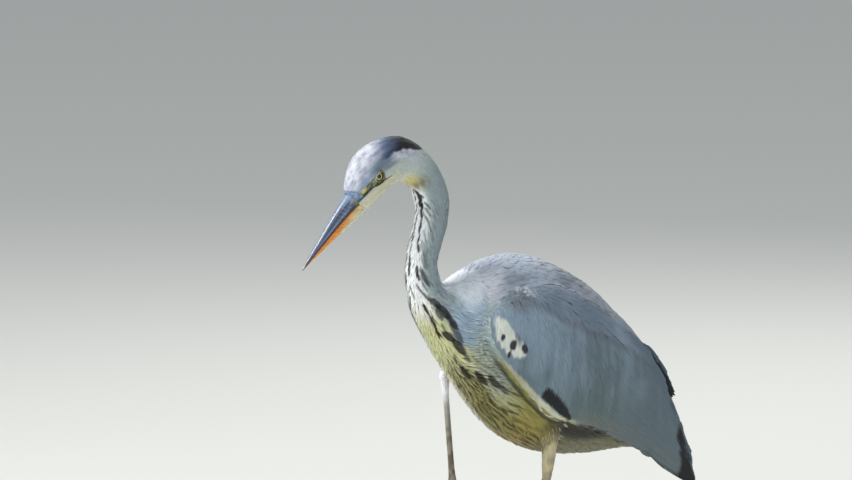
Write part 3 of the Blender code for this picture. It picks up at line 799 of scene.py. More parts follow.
def cells(x, y, px, py, seed, keep=1.0):
    """A jittered lattice: offsets from the nearest mark's middle, and a
    random number of that mark (above 1 where there is none)."""
    j = np.floor(y / py)
    hx = x / px + 0.5 * (j % 2)
    i = np.floor(hx)
    key = (i * 127.1 + j * 311.7 + seed * 74.7)
    r1 = np.abs(np.sin(key) * 43758.5453) % 1.0
    r2 = np.abs(np.sin(key * 1.37 + 2.1) * 24634.6345) % 1.0
    r3 = np.abs(np.sin(key * 2.11 + 5.3) * 13573.1237) % 1.0
    dx = (hx - i - 0.5 - 0.35 * (r1 - 0.5)) * px
    dy = (y / py - j - 0.5 - 0.35 * (r2 - 0.5)) * py
    return dx, dy, np.where(r3 < keep, r3, 9.0)


def streaks(x, y, px, py, width, length, slant, seed, keep=0.8):
    """Lens-shaped marks, length along y, in 0..1."""
    dx, dy, r = cells(x, y, px, py, seed, keep)
    dx = dx - slant * dy
    body_ = np.clip(1 - (dy / (0.5 * length)) ** 2, 0, 1) ** 0.7
    return (r < 2) * smooth(1.0, 0.55, np.abs(dx) / (0.5 * width * body_ + 1e-6))


def stroke(x, y, x0, y0, x1, y1, half, fray):
    """One long drop from (x0, y0) to (x1, y1), in 0..1."""
    vx, vy = x1 - x0, y1 - y0
    size = math.hypot(vx, vy)
    f = ((x - x0) * vx + (y - y0) * vy) / size ** 2
    off = np.abs((y - y0) * vx - (x - x0) * vy) / size
    wide = half * np.clip(1 - np.abs(2 * f - 1) ** 2.4, 0, 1) ** 0.60
    return smooth(1.18, 0.80, np.maximum(off + fray, 0) / (wide + 1e-6)) * (wide > 1e-5)


def drop(q, out, a, b, half, fray):
    """The same between two points of the tables' frame, measured across
    the surface: the part along the way out from the body does not count."""
    a, b = np.array(a), np.array(b)
    way = b - a
    f = ((q - a) @ way) / (way @ way)
    e = q - a - f[:, None] * way
    off = np.linalg.norm(e - out * np.einsum("ij,ij->i", e, out)[:, None], axis=1)
    wide = half * np.clip(1 - np.abs(2 * f - 1) ** 2.4, 0, 1) ** 0.60
    return smooth(1.18, 0.80, np.maximum(off + fray, 0) / (wide + 1e-6)) * (wide > 1e-5)


# strokes of the foreneck: along the line, degrees from the middle, to
# the same of the other end, half width, strength
NECK_STROKES = [
    (0.142, 4, 0.152, 9, 0.0014, 0.97), (0.149, 8, 0.161, 15, 0.0021, 0.97), (0.158, 12, 0.172, 13, 0.0024, 0.97), (0.157, 19, 0.167, 30, 0.0011, 0.9),
    (0.169, 9, 0.184, 6, 0.0023, 0.97), (0.174, 17, 0.190, 8, 0.0012, 0.95), (0.187, 4, 0.204, 6, 0.0017, 0.95), (0.202, 7, 0.222, 5, 0.0014, 0.92),
    (0.216, 2, 0.229, 6, 0.0014, 0.92), (0.227, 8, 0.241, 9, 0.0011, 0.95), (0.238, 9, 0.251, 19, 0.0014, 0.93), (0.172, 23, 0.188, 43, 0.0012, 0.80), (0.184, 20, 0.200, 42, 0.0011, 0.75),
    (0.195, 15, 0.213, 40, 0.0013, 0.72), (0.207, 29, 0.221, 48, 0.0011, 0.62), (0.221, 19, 0.240, 42, 0.0016, 0.50), (0.235, 23, 0.255, 46, 0.0030, 0.52),
    (0.249, 31, 0.269, 52, 0.0032, 0.48), (0.264, 15, 0.281, 23, 0.0018, 0.97), (0.266, 29, 0.290, 54, 0.0024, 0.80), (0.274, 25, 0.296, 44, 0.0011, 0.70), (0.283, 12, 0.294, 22, 0.0011, 0.90),
    (0.291, 21, 0.308, 44, 0.0013, 0.85),
]
FAR_STROKES = [
    (0.146, 5, 0.158, 9, 0.0013, 0.90), (0.160, 8, 0.172, 13, 0.0013, 0.90), (0.176, 9, 0.188, 17, 0.0011, 0.80), (0.194, 13, 0.206, 23, 0.0010, 0.75),
    (0.206, 14, 0.218, 25, 0.0012, 0.86), (0.218, 14, 0.230, 25, 0.0013, 0.90), (0.229, 12, 0.241, 21, 0.0014, 0.90), (0.240, 14, 0.253, 19, 0.0016, 0.75),
    (0.200, 16, 0.210, 26, 0.0009, 0.86), (0.212, 17, 0.224, 28, 0.0009, 0.86), (0.224, 16, 0.236, 26, 0.0010, 0.86),
    (0.253, 15, 0.277, 14, 0.0018, 0.95), (0.284, 16, 0.301, 7, 0.0013, 0.92), 
    (0.170, 27, 0.186, 44, 0.0011, 0.70), (0.188, 26, 0.206, 46, 0.0011, 0.65), (0.208, 30, 0.226, 50, 0.0013, 0.60), (0.230, 27, 0.252, 48, 0.0026, 0.52),
    (0.252, 31, 0.274, 54, 0.0030, 0.50), (0.272, 32, 0.294, 54, 0.0034, 0.78), (0.296, 30, 0.316, 50, 0.0022, 0.75),
]
# bold marks of the breast's left side, mirrored on the right: both ends,
# half width, strength
BREAST_MARKS = [
    ((-0.2275, -0.0135, 0.5060), (-0.2190, -0.0192, 0.4880), 0.0019, 0.97), ((-0.2200, -0.0188, 0.4900), (-0.2085, -0.0195, 0.4690), 0.0025, 0.97),
    ((-0.2100, -0.0195, 0.4720), (-0.2015, -0.0175, 0.4565), 0.0020, 0.95), ((-0.2230, -0.0235, 0.5130), (-0.2110, -0.0335, 0.4985), 0.0034, 0.86),
    ((-0.2165, -0.0300, 0.5050), (-0.2000, -0.0385, 0.4850), 0.0042, 0.90), ((-0.2060, -0.0365, 0.4920), (-0.1890, -0.0405, 0.4705), 0.0033, 0.82),
    ((-0.2085, -0.0290, 0.4790), (-0.1980, -0.0295, 0.4630), 0.0015, 0.70), ((-0.2030, -0.0262, 0.4680), (-0.1870, -0.0320, 0.4520), 0.0041, 0.93),
    ((-0.1905, -0.0310, 0.4560), (-0.1700, -0.0352, 0.4330), 0.0042, 0.90), ((-0.1740, -0.0345, 0.4370), (-0.1620, -0.0360, 0.4220), 0.0026, 0.70),
    ((-0.2000, -0.0372, 0.4850), (-0.1770, -0.0378, 0.4470), 0.0036, 0.74), ((-0.2150, -0.0250, 0.4980), (-0.2050, -0.0300, 0.4830), 0.0018, 0.70),
    ((-0.1708, -0.0242, 0.4182), (-0.1540, -0.0260, 0.3985), 0.0036, 0.97), ((-0.1535, -0.0352, 0.4105), (-0.1345, -0.0376, 0.3902), 0.0038, 0.95),
    ((-0.1370, -0.0422, 0.4035), (-0.1180, -0.0442, 0.3847), 0.0036, 0.90), ((-0.1180, -0.0450, 0.3900), (-0.1080, -0.0462, 0.3760), 0.0021, 0.70),
    ((-0.1840, -0.0240, 0.4330), (-0.1740, -0.0225, 0.4190), 0.0014, 0.75), ((-0.1640, -0.0395, 0.4340), (-0.1530, -0.0420, 0.4210), 0.0013, 0.50),
]


def breast_marks(t, col, fray, T, th):
    q = t.copy()
    q[:, 1] = -np.abs(q[:, 1])
    out = np.stack([T[:, 1] * np.cos(th), -np.abs(np.sin(th)), -T[:, 0] * np.cos(th)], 1)
    for a, b, half, ink in MARKS:
        col = mix(col, mix(BROWN, INK, 0.55 + 0 * fray), ink * drop(q, out, a, b, half, fray))
    return col


WING_LINE = [(-0.20, 0.020), (-0.13, 0.026), (-0.06, 0.030), (-0.005, 0.039), (0.045, 0.050), (0.11, 0.060), (0.30, 0.075)]
WING_LOW = {
    "left": [(-0.159, -0.031), (-0.151, -0.043), (-0.136, -0.055), (-0.110, -0.066), (-0.080, -0.0745), (-0.040, -0.0835), (0.000, -0.0885),
             (0.022, -0.0865), (0.042, -0.0790), (0.080, -0.0680), (0.120, -0.0600), (0.160, -0.0515), (0.235, -0.0455), (0.305, -0.0380)],
    "right": [(-0.155, -0.022), (-0.147, -0.033), (-0.131, -0.043), (-0.105, -0.052), (-0.075, -0.058), (-0.035, -0.060), (0.005, -0.057),
              (0.040, -0.047), (0.080, -0.033), (0.120, -0.018), (0.160, -0.003), (0.193, 0.014), (0.222, 0.029), (0.268, 0.056)],
}
WING_HIGH = {
    "left": [(-0.159, -0.014), (-0.136, 0.033), (-0.080, 0.067), (0.000, 0.080), (0.080, 0.079), (0.120, 0.074), (0.160, 0.058), (0.200, 0.038),
             (0.235, 0.018), (0.265, -0.002), (0.305, -0.029)],
    "right": [(-0.155, -0.006), (-0.131, 0.040), (-0.075, 0.071), (0.005, 0.089), (0.080, 0.104), (0.120, 0.108), (0.160, 0.109), (0.193, 0.107),
              (0.222, 0.099), (0.248, 0.089), (0.268, 0.077)],
}


def edge(tab, s):
    return np.interp(s, [r[0] for r in tab], [r[1] for r in tab])


def paint_head_neck(t):
    S, T, th, back_ = along_line(t)
    a, u = head_frame(t)
    y = t[:, 1]
    deg = np.degrees(th)
    ab = np.abs(deg)
    fine = noise(np.stack([t[:, 0], t[:, 1] * 2.2, t[:, 2]], 1), 0.0045, 3)
    grain = noise(np.stack([S * 0.30, th * 0.021, back_ * 0.3], 1), 0.0011, 9)
    grain2 = noise(np.stack([S * 0.30, th * 0.021, back_ * 0.3], 1), 0.0024, 10)
    col = np.tile(srgb(0.730, 0.770, 0.755), (len(t), 1))
    # neck: paler in front, greyer behind
    m = np.degrees(th - midline(S))
    am = np.abs((m + 180) % 360 - 180)
    col = mix(col, srgb(0.590, 0.645, 0.660), smooth(0.10, 0.15, S) * smooth(30, 62, am))
    col = mix(col, srgb(0.590, 0.635, 0.655), smooth(0.12, 0.17, S) * smooth(95, 140, am))
    col = mix(col, srgb(0.94, 0.955, 0.965), smooth(0.125, 0.16, S) * smooth(46, 28, am))
    # nearly white at the back of the neck's foot
    col = mix(col, srgb(0.87, 0.90, 0.93), smooth(0.270, 0.315, S) * smooth(92, 118, am))
    # chin and cheek below the gape: cream
    chin = smooth(96, 80, ab) * smooth(0.085, 0.060, S)
    col = mix(col, srgb(0.83, 0.82, 0.70), chin)
    col = mix(col, srgb(0.86, 0.86, 0.78), smooth(70, 45, ab) * smooth(0.125, 0.10, S))
    # washed yellow where the throat bends, darker towards the neck
    bend = np.exp(-((S - 0.120) / 0.020) ** 2) * smooth(74, 40, ab)
    col = mix(col, srgb(0.80, 0.755, 0.46), 0.88 * bend)
    shade = np.exp(-((S - 0.137) / 0.013) ** 2) * smooth(92, 60, ab) * smooth(6, 24, ab)
    col = mix(col, srgb(0.50, 0.48, 0.38), 0.62 * shade * (0.55 + 0.9 * smooth(0.3, 0.7, grain2)))
    # forehead and fore crown: white and lilac, finely streaked
    crown = smooth(104, 130, ab) * smooth(0.115, 0.100, S)
    lilac = mix(srgb(0.835, 0.845, 0.885), srgb(0.600, 0.625, 0.705), smooth(0.25, 0.85, 0.45 * grain + 0.55 * grain2))
    col = mix(col, lilac, crown)
    low = blob(S, ab, 0.024, 128, 0.030, 15, 0.0, 0.4)
    col = mix(col, srgb(0.545, 0.605, 0.700), 0.85 * low * (0.75 + 0.5 * grain2))
    over = blob(S, ab, 0.054, 131, 0.018, 16, 0.0, 0.5)
    col = mix(col, srgb(0.440, 0.500, 0.565), 0.92 * over)
    rear = blob(S, ab, 0.064, 112, 0.013, 7.0, 0.0, 0.6)
    col = mix(col, srgb(0.42, 0.46, 0.47), 0.70 * rear)
    # hind crown: slate in front, black to the nape, a ragged lower edge
    rag = 8.0 * (noise(np.stack([S, 0 * S, th * 0.01], 1), 0.0042, 4) - 0.5) + 7.0 * (grain2 - 0.5)
    lower = np.interp(S, [0.044, 0.050, 0.056, 0.064, 0.075, 0.083, 0.093, 0.101, 0.109, 0.116, 0.124], [166, 152, 139, 134, 135.5, 137.5, 134, 138, 147, 158, 178])
    front = smooth(0.048, 0.068, S + 0.006 * (grain2 - 0.5) - 0.012 * smooth(150, 176, ab))
    cap = smooth(-3.0, 4.0, ab + rag - lower) * smooth(0.122, 0.112, S)
    dark = smooth(0.062, 0.092, S + 0.007 * (grain2 - 0.5) + 0.010 * smooth(152, 138, ab) - 0.006 * smooth(160, 178, ab))
    capcol = mix(srgb(0.375, 0.435, 0.555), srgb(0.070, 0.082, 0.120), dark)
    capcol = mix(capcol, srgb(0.36, 0.42, 0.56), (0.55 * smooth(0.45, 0.75, grain) * (1 - dark)))
    col = mix(col, capcol, cap * front)
    # dark mouth line under the lore, ending behind the eye
    gape = np.interp(a, [-0.062, -0.0548, -0.0467, -0.0407, -0.0289, -0.0197, -0.0032, 0.010], [-0.0090, -0.0059, -0.0028, -0.0020, 0.0030, 0.0036, 0.0028, 0.0020])
    off = u - gape
    wide = np.interp(a, [-0.060, -0.052, -0.045, -0.032, -0.020, 0.0], [0.0006, 0.0010, 0.0008, 0.0012, 0.0016, 0.0012])
    line = smooth(1.5, 0.6, np.abs(off) / wide) * smooth(-0.061, -0.055, a) * smooth(0.006, 0.0, a) * smooth(0.006, 0.010, np.abs(y))
    col = mix(col, mix(srgb(0.33, 0.35, 0.34), srgb(0.115, 0.115, 0.075), smooth(-0.050, -0.036, a)), 0.86 * line)
    # foreneck: black strokes in two uneven rows, others slanting out from them
    r = 0.021
    fray = 0.0010 * (noise(np.stack([S * 0.4, th * 0.021, 0 * S], 1), 0.0013, 20) - 0.5)
    here = smooth(0.138, 0.146, S)
    x = np.radians((m + 180) % 360 - 180) * r
    pale_ink = srgb(0.235, 0.265, 0.315)
    for rows, sgn in ((NECK_STROKES, -1), (FAR_STROKES, 1)):
        for S0, m0, S1, m1, half, ink in rows:
            mark = stroke(x, S, sgn * np.radians(m0) * r, S0, sgn * np.radians(m1) * r, S1, half * (1.45 if S1 < 0.215 else 1.20), fray)
            col = mix(col, mix(pale_ink, INK, np.array(float(smooth(0.6, 0.85, ink)))) if S1 < 0.262 else mix(BROWN, INK, np.array(float(smooth(0.6, 0.95, ink)))), ink * mark * here)
    # faint slanting streaks out to the neck's sides
    out = np.radians(am - 46.0) * r
    on_side = smooth(0.150, 0.185, S)
    big = streaks(out, S, 0.0086, 0.0140, 0.0040, 0.0190, 0.62, 21, 0.75) * smooth(40, 50, am) * smooth(78, 60, am)
    col = mix(col, mix(srgb(0.42, 0.455, 0.475), srgb(0.27, 0.26, 0.25), smooth(0.265, 0.31, S)), big * on_side * (0.52 + 0.30 * smooth(0.27, 0.31, S)))
    small = streaks(np.radians(am - 62.0) * r, S, 0.0060, 0.0105, 0.0028, 0.0120, 0.50, 22, 0.75) * smooth(50, 60, am) * smooth(100, 76, am)
    col = mix(col, srgb(0.46, 0.49, 0.51), 0.50 * small * on_side)
    # base tone between rows below: cream
    cream = smooth(0.290, 0.330, S) * smooth(62, 34, am)
    light = col.mean(axis=1) > 0.40
    col = np.where(light[:, None], mix(col, srgb(0.845, 0.840, 0.750), 0.70 * cream), col)
    col = breast_marks(t, col, fray, T, th)
    return col * (0.955 + 0.09 * grain)[:, None]


def paint_trunk(t):
    S, T, th, back_ = along_line(t)
    s, n = trunk_frame(t)
    m = np.degrees(th - midline(S))
    am = np.abs((m + 180) % 360 - 180)
    y = np.abs(t[:, 1])
    mott = noise(t, 0.022, 5)
    fine = noise(np.stack([S * 0.20, t[:, 1], back_], 1), 0.0024, 6)
    grey = mix(srgb(0.600, 0.625, 0.675), srgb(0.500, 0.535, 0.585), smooth(0.30, 0.75, mott))
    grey = mix(grey, srgb(0.565, 0.605, 0.670), 0.85 * smooth(-0.05, -0.11, s))
    grey = mix(grey, srgb(0.840, 0.850, 0.885), 0.88 * smooth(-0.140, -0.162, s + 0.006 * (mott - 0.5)))
    grey = mix(grey, srgb(0.700, 0.742, 0.806), 0.90 * smooth(-0.03, -0.12, s + 0.02 * (mott - 0.5)) * smooth(146, 163, am + 6 * (mott - 0.5)))
    # a darker patch on the mantle just above the wing's front edge: a painted shadow line where the mantle's edge meets
    # the wing
    grey = mix(grey, srgb(0.455, 0.510, 0.560), 0.60 * blob(s, n, -0.127, 0.042, 0.018, 0.007, 0.35, 0.7) * smooth(0.004, 0.012, y))
    grey = mix(grey, srgb(0.70, 0.72, 0.77), 0.30 * smooth(0.45, 0.75, noise(np.stack([s * 0.4, t[:, 1], n], 1), 0.008, 61)) * smooth(-0.04, -0.10, s))
    grey = mix(grey, srgb(0.390, 0.455, 0.505), smooth(0.02, 0.14, s) * 0.78)
    # sides of the breast: pale, bluish, loose
    side = mix(srgb(0.650, 0.735, 0.810), srgb(0.575, 0.655, 0.725), smooth(0.35, 0.75, mott))
    side = mix(side, srgb(0.585, 0.650, 0.650), smooth(0.360, 0.400, S) * 0.90)
    side = mix(side, srgb(0.560, 0.575, 0.460), smooth(0.405, 0.450, S) * 0.90)
    col = mix(side, grey, smooth(108, 130, am))
    col = mix(col, srgb(0.87, 0.90, 0.93), 0.94 * smooth(0.372, 0.322, S + 0.016 * (mott - 0.5) + 0.010 * (fine - 0.5)) * smooth(82, 112, am))
    soft = streaks(np.radians(am - 80) * 0.05, S, 0.0060, 0.0240, 0.0026, 0.0300, 0.35, 44, 0.8) * smooth(58, 72, am) * smooth(132, 116, am) * smooth(0.30, 0.33, S) * smooth(0.43, 0.40, S)
    col = mix(col, srgb(0.84, 0.875, 0.90), 0.42 * soft)
    # under: cream, olive towards the legs, warm between them
    under = mix(srgb(0.800, 0.805, 0.610), srgb(0.570, 0.565, 0.315), smooth(0.360, 0.44, S))
    under = mix(under, srgb(0.560, 0.540, 0.290), smooth(0.46, 0.55, S))
    under = mix(under, srgb(0.60, 0.51, 0.26), 0.45 * blob(S, am, 0.550, 8, 0.045, 16, 0.0, 0.6))
    # olive along the middle, loose cream feathers on each side of it
    on_belly = smooth(0.372, 0.400, S) * smooth(0.56, 0.51, S)
    under = mix(under, srgb(0.500, 0.480, 0.275), 0.80 * smooth(20, 12, am + 5 * (mott - 0.5)) * on_belly)
    under = mix(under, srgb(0.850, 0.835, 0.740), 0.75 * smooth(16, 21, am + 5 * (mott - 0.5)) * smooth(34, 26, am) * on_belly * smooth(0.53, 0.48, S) * (0.35 + 0.65 * np.maximum(smooth(0.425, 0.395, S), smooth(0.0, 0.01, t[:, 1]))))
    under = mix(under, srgb(0.455, 0.445, 0.345), smooth(0.55, 0.62, S))
    lim = np.interp(S, [0.30, 0.34, 0.375, 0.42, 0.50, 0.60, 0.75], [52, 54, 46, 52, 62, 70, 78])
    col = mix(col, under, smooth(12, -12, am - lim + 16 * (fine - 0.5)))
    # the bold marks going on from the foreneck, and fine ones beside them
    r = np.interp(S, [0.30, 0.36, 0.45, 0.55], [0.026, 0.040, 0.075, 0.110])
    sm = streaks(np.radians(am - 58) * r, S, 0.0085, 0.0170, 0.0034, 0.0200, 0.40, 23, 0.7) * smooth(50, 58, am) * smooth(92, 72, am) * smooth(0.355, 0.335, S)
    col = mix(col, srgb(0.40, 0.42, 0.42), 0.50 * sm)
    # olive fringes across the lower breast's side
    wisp = streaks(np.radians(am - 60) * 0.07 + 0.003 * (mott - 0.5), S, 0.0075, 0.030, 0.0024, 0.036, 0.15, 27, 0.85) * smooth(40, 52, am) * smooth(0.375, 0.395, S) * smooth(0.52, 0.47, S) * smooth(100, 88, am)
    col = mix(col, srgb(0.70, 0.70, 0.60), 0.40 * wisp)
    below = edge(WING_LOW["left"], s) - n
    near = smooth(0.034, 0.012, below) * smooth(-0.002, 0.002, below) * smooth(-0.160, -0.140, s) * smooth(-0.045, -0.085, s) * (y > 0.020)
    col = mix(col, srgb(0.560, 0.605, 0.575), 0.78 * near)
    pale = streaks(below + 0.004 * (mott - 0.5), s + 0.25 * n, 0.0058, 0.030, 0.0026, 0.036, 0.10, 47, 0.85)
    col = mix(col, srgb(0.770, 0.800, 0.780), 0.62 * pale * near)
    thin = streaks(below + 0.004 * (mott - 0.5) + 0.002, s + 0.25 * n, 0.0074, 0.026, 0.0014, 0.030, 0.10, 48, 0.6)
    col = mix(col, srgb(0.330, 0.345, 0.290), 0.62 * thin * near)
    fray = 0.0012 * (noise(np.stack([s * 0.35, t[:, 1], n], 1), 0.0022, 14) - 0.5)
    col = breast_marks(t, col, fray, T, th)
    # thin brown streaks of the belly, drawn together along the middle
    x1 = np.radians(am) * 0.075
    wav = 0.0040 * (noise(np.stack([S, th * 0.02, 0 * S], 1), 0.020, 35) - 0.5)
    b1 = streaks(x1 + wav, S, 0.0050, 0.046, 0.0026, 0.060, 0.04, 31, 0.95) * smooth(0.368, 0.386, S) * smooth(0.64, 0.56, S) * smooth(24, 16, am)
    b2 = streaks(np.radians(am - 30) * 0.09 + wav, S, 0.0085, 0.040, 0.0017, 0.050, 0.10, 33, 0.7) * smooth(0.39, 0.42, S) * smooth(0.58, 0.50, S) * smooth(18, 30, am) * smooth(62, 48, am)
    b3 = streaks(np.radians(am - 20) * 0.09 - wav, S, 0.0105, 0.052, 0.0036, 0.064, 0.08, 37, 0.8) * smooth(0.385, 0.40, S) * smooth(0.56, 0.50, S) * smooth(12, 18, am) * smooth(40, 30, am)
    right = smooth(0.001, 0.006, t[:, 1]) * on_belly * smooth(30, 24, am)
    col = mix(col, srgb(0.850, 0.835, 0.760), 0.80 * right)
    col = mix(col, srgb(0.20, 0.155, 0.085), 0.92 * b1 * (1 - 0.45 * right))
    col = mix(col, srgb(0.23, 0.185, 0.110), 0.86 * b3 * (1 - 0.45 * right))
    col = mix(col, srgb(0.38, 0.35, 0.24), 0.60 * b2)
    # the dark flank patch behind the leg, under the wing
    flank = blob(s, n, 0.082, -0.0640, 0.068, 0.0185, 0.50, 0.35) * (y > 0.008)
    col = mix(col, srgb(0.16, 0.165, 0.145), 0.94 * flank)
    # shade in the fold under the wing's edge
    fold = edge(WING_LOW["left"], s) - n
    fold_on = smooth(0.0036, 0.0010, np.abs(fold - 0.0006)) * smooth(0.060, 0.040, s) * smooth(-0.148, -0.095, s) * (y > 0.020)
    col = mix(col, srgb(0.165, 0.16, 0.13), 0.82 * fold_on)
    # a few dark ticks on the back
    for ds, dn, la in ((-0.090, 0.086, 0.0050), (-0.019, 0.0915, 0.0060), (-0.150, 0.050, 0.0035), (0.052, 0.0930, 0.0050)):
        col = mix(col, srgb(0.26, 0.27, 0.31), 0.80 * blob(s, n, ds, dn, la, 0.0014, -0.25, 0.4) * (y > 0.012))
    return col * (0.95 + 0.10 * fine)[:, None]


def wing_terms(s, n):
    return np.stack([np.ones(len(s)), s, n, s * s, s * n, n * n, s ** 3, s * s * n, s * n * n, n ** 3, s ** 4], 1)


def middle_fit(name):
    """How far out the middle of a wing's thickness lies, over its face."""
    t = table(node_mesh(name)[0])
    s, n = trunk_frame(t)
    return np.linalg.lstsq(wing_terms(s, n), np.abs(t[:, 1]), rcond=None)[0]


WING_FIT = {"left": middle_fit("wing_left"), "right": middle_fit("wing_right")}


def wing_middle(word, s, n):
    return wing_terms(s, n) @ WING_FIT[word]


def turned(s, n, cs, cn, turn):
    c, q = math.cos(turn), math.sin(turn)
    return (s - cs) * c + (n - cn) * q, -(s - cs) * q + (n - cn) * c


def paint_wing(t, word):
    s, n = trunk_frame(t)
    low, high = edge(WING_LOW[word], s), edge(WING_HIGH[word], s)
    up = n - low
    mott = noise(t, 0.030, 7)
    # fine streaks that hang down
    hx = (s * 0.839 + n * 0.545)
    fine = noise(np.stack([hx, 0 * s, (s * 0.545 - n * 0.839) * 0.08], 1), 0.0022, 8)
    wide = noise(np.stack([hx, 0 * s, (s * 0.545 - n * 0.839) * 0.15], 1), 0.0100, 28)
    cov = mix(srgb(0.470, 0.540, 0.590), srgb(0.375, 0.435, 0.470), smooth(0.25, 0.75, 0.5 * mott + 0.5 * wide))
    cov = mix(cov, srgb(0.555, 0.628, 0.700), smooth(0.04, -0.10, s) * smooth(-0.055, -0.015, n) * 0.8)
    cov = mix(cov, srgb(0.345, 0.410, 0.415), 0.80 * smooth(0.090, 0.025, up) * smooth(-0.05, 0.06, s))
    cov = mix(cov, srgb(0.435, 0.450, 0.405), 0.65 * smooth(0.030, 0.012, up) * smooth(0.02, 0.07, s))
    cov = cov * (0.93 + 0.14 * fine)[:, None]
    scap = mix(srgb(0.525, 0.580, 0.650), srgb(0.435, 0.495, 0.560), smooth(0.25, 0.75, mott)) * (0.95 + 0.10 * noise(t, 0.004, 15))[:, None]
    line = edge(WING_LINE, s)
    over = n - line + 0.004 * (wide - 0.5)
    # shade below the mantle's overhanging edge
    cov = mix(cov, srgb(0.37, 0.385, 0.42), 0.62 * smooth(-0.0120, -0.0010, over) * smooth(-0.15, -0.12, s) * smooth(0.16, 0.06, s))
    col = mix(cov, scap, smooth(-0.0016, 0.0016, over))
    col = mix(col, srgb(0.37, 0.36, 0.35), 0.55 * blob(s, n, -0.133, 0.012, 0.018, 0.012, 0.5, 0.7))
    # tertials towards the tip, browner grey; darker still along the upper edge there, as painted shade that holds down
    # the light from above on that rim
    col = mix(col, srgb(0.375, 0.425, 0.465), 0.55 * smooth(0.06, 0.18, s))
    col = mix(col, srgb(0.340, 0.410, 0.455), 0.75 * smooth(0.03, 0.10, s) * smooth(0.022, 0.008, high - n))
    # wrist: white, frayed behind, with a few black spots; cream leading edge
    px, py = turned(s, n, -0.1305, -0.0370, -0.54)
    qx, qy = turned(s, n, -0.1045, -0.0420, -0.30)
    d_ = np.minimum(np.sqrt((px / 0.0275) ** 2 + (py / 0.0100) ** 2), np.sqrt((qx / 0.0165) ** 2 + (qy / 0.0100) ** 2))
    patch_ = smooth(1.14, 0.88, d_ + 0.40 * (fine - 0.5) + 0.30 * (wide - 0.5))
    col = mix(col, srgb(0.845, 0.860, 0.825), 0.95 * patch_)
    notch = blob(s, n, -0.1120, -0.0325, 0.0090, 0.0034, -0.60, 0.6)
    col = mix(col, srgb(0.44, 0.46, 0.49), 0.75 * notch)
    rim_w = np.interp(s, [-0.150, -0.110, -0.060, 0.000, 0.045], [0.0040, 0.0050, 0.0085, 0.0095, 0.0060])
    rim = smooth(1.12, 0.82, (up + 0.002 * (fine - 0.5)) / rim_w) * smooth(0.062, 0.044, s) * smooth(-0.160, -0.148, s)
    col = mix(col, mix(srgb(0.78, 0.78, 0.69), srgb(0.66, 0.66, 0.54), smooth(0.3, 0.7, wide)), 0.94 * rim)
    for ds, dn, la, lb, k in ((-0.1325, -0.0405, 0.0042, 0.0026, -1.05), (-0.1140, -0.0420, 0.0072, 0.0042, -0.95), (-0.0965, -0.0380, 0.0070, 0.0040, -0.60), (-0.1095, -0.0535, 0.0044, 0.0020, -1.0)):
        al, ac = turned(s, n, ds, dn, k)
        d_ = (np.abs(al / la) ** 2.6 + np.abs(ac / lb) ** 2.6) ** (1 / 2.6) + 0.18 * (fine - 0.5)
        col = mix(col, srgb(0.10, 0.11, 0.145), 0.96 * smooth(1.14, 0.88, d_))
    # black oblong over the leading edge, cut straight, pointed behind
    al, ac = turned(s, n, 0.0040, -0.0700, -0.10)
    wid = np.interp(al, [-0.034, -0.030, -0.010, 0.015, 0.036], [0.0050, 0.0074, 0.0072, 0.0060, 0.0014])
    col = mix(col, srgb(0.050, 0.055, 0.075), 0.98 * smooth(1.10, 0.92, np.abs(ac + 0.0008) / wid) * smooth(-0.0355, -0.0335, al + 0.25 * ac) * smooth(0.0370, 0.0345, al))
    col = mix(col, srgb(0.17, 0.19, 0.22), 0.85 * blob(s, n, 0.0400, -0.0315, 0.0052, 0.0012, -1.0, 0.4))
    # frayed white where the mantle meets the wing
    loose = streaks(s, n, 0.0044, 0.020, 0.0024, 0.018, 0.3, 41, 0.9) * blob(s, n, -0.132, 0.029, 0.026, 0.0085, 0.45, 0.6)
    col = mix(col, srgb(0.84, 0.85, 0.87), 0.85 * loose)
    # primaries: a black wedge at the tip under a grey margin, and the
    # inner face but for its upper edge
    if word == "left":
        border = np.interp(s, [0.226, 0.232, 0.247, 0.262, 0.274], [0.006, -0.001, -0.009, -0.024, -0.044])
        begin, behind, margin = 0.228, 0.200, 0.0040
    else:
        border = np.interp(s, [0.188, 0.195, 0.210, 0.225, 0.238], [0.096, 0.088, 0.078, 0.060, 0.036])
        begin, behind, margin = 0.190, 0.138, 0.0018
    prim = smooth(-0.0012, 0.0012, n - border + 0.003 * (fine - 0.5)) * smooth(begin, begin + 0.006, s)
    face = np.abs(t[:, 1]) - wing_middle(word, s, n)
    inner = smooth(0.0012, 0.0, face) * smooth(behind - 0.01, behind + 0.01, s)
    prim = np.maximum(prim, inner) * smooth(margin - 0.0006, margin + 0.0008, high - n)
    col = mix(col, srgb(0.060, 0.065, 0.085), 0.97 * prim)
    return col


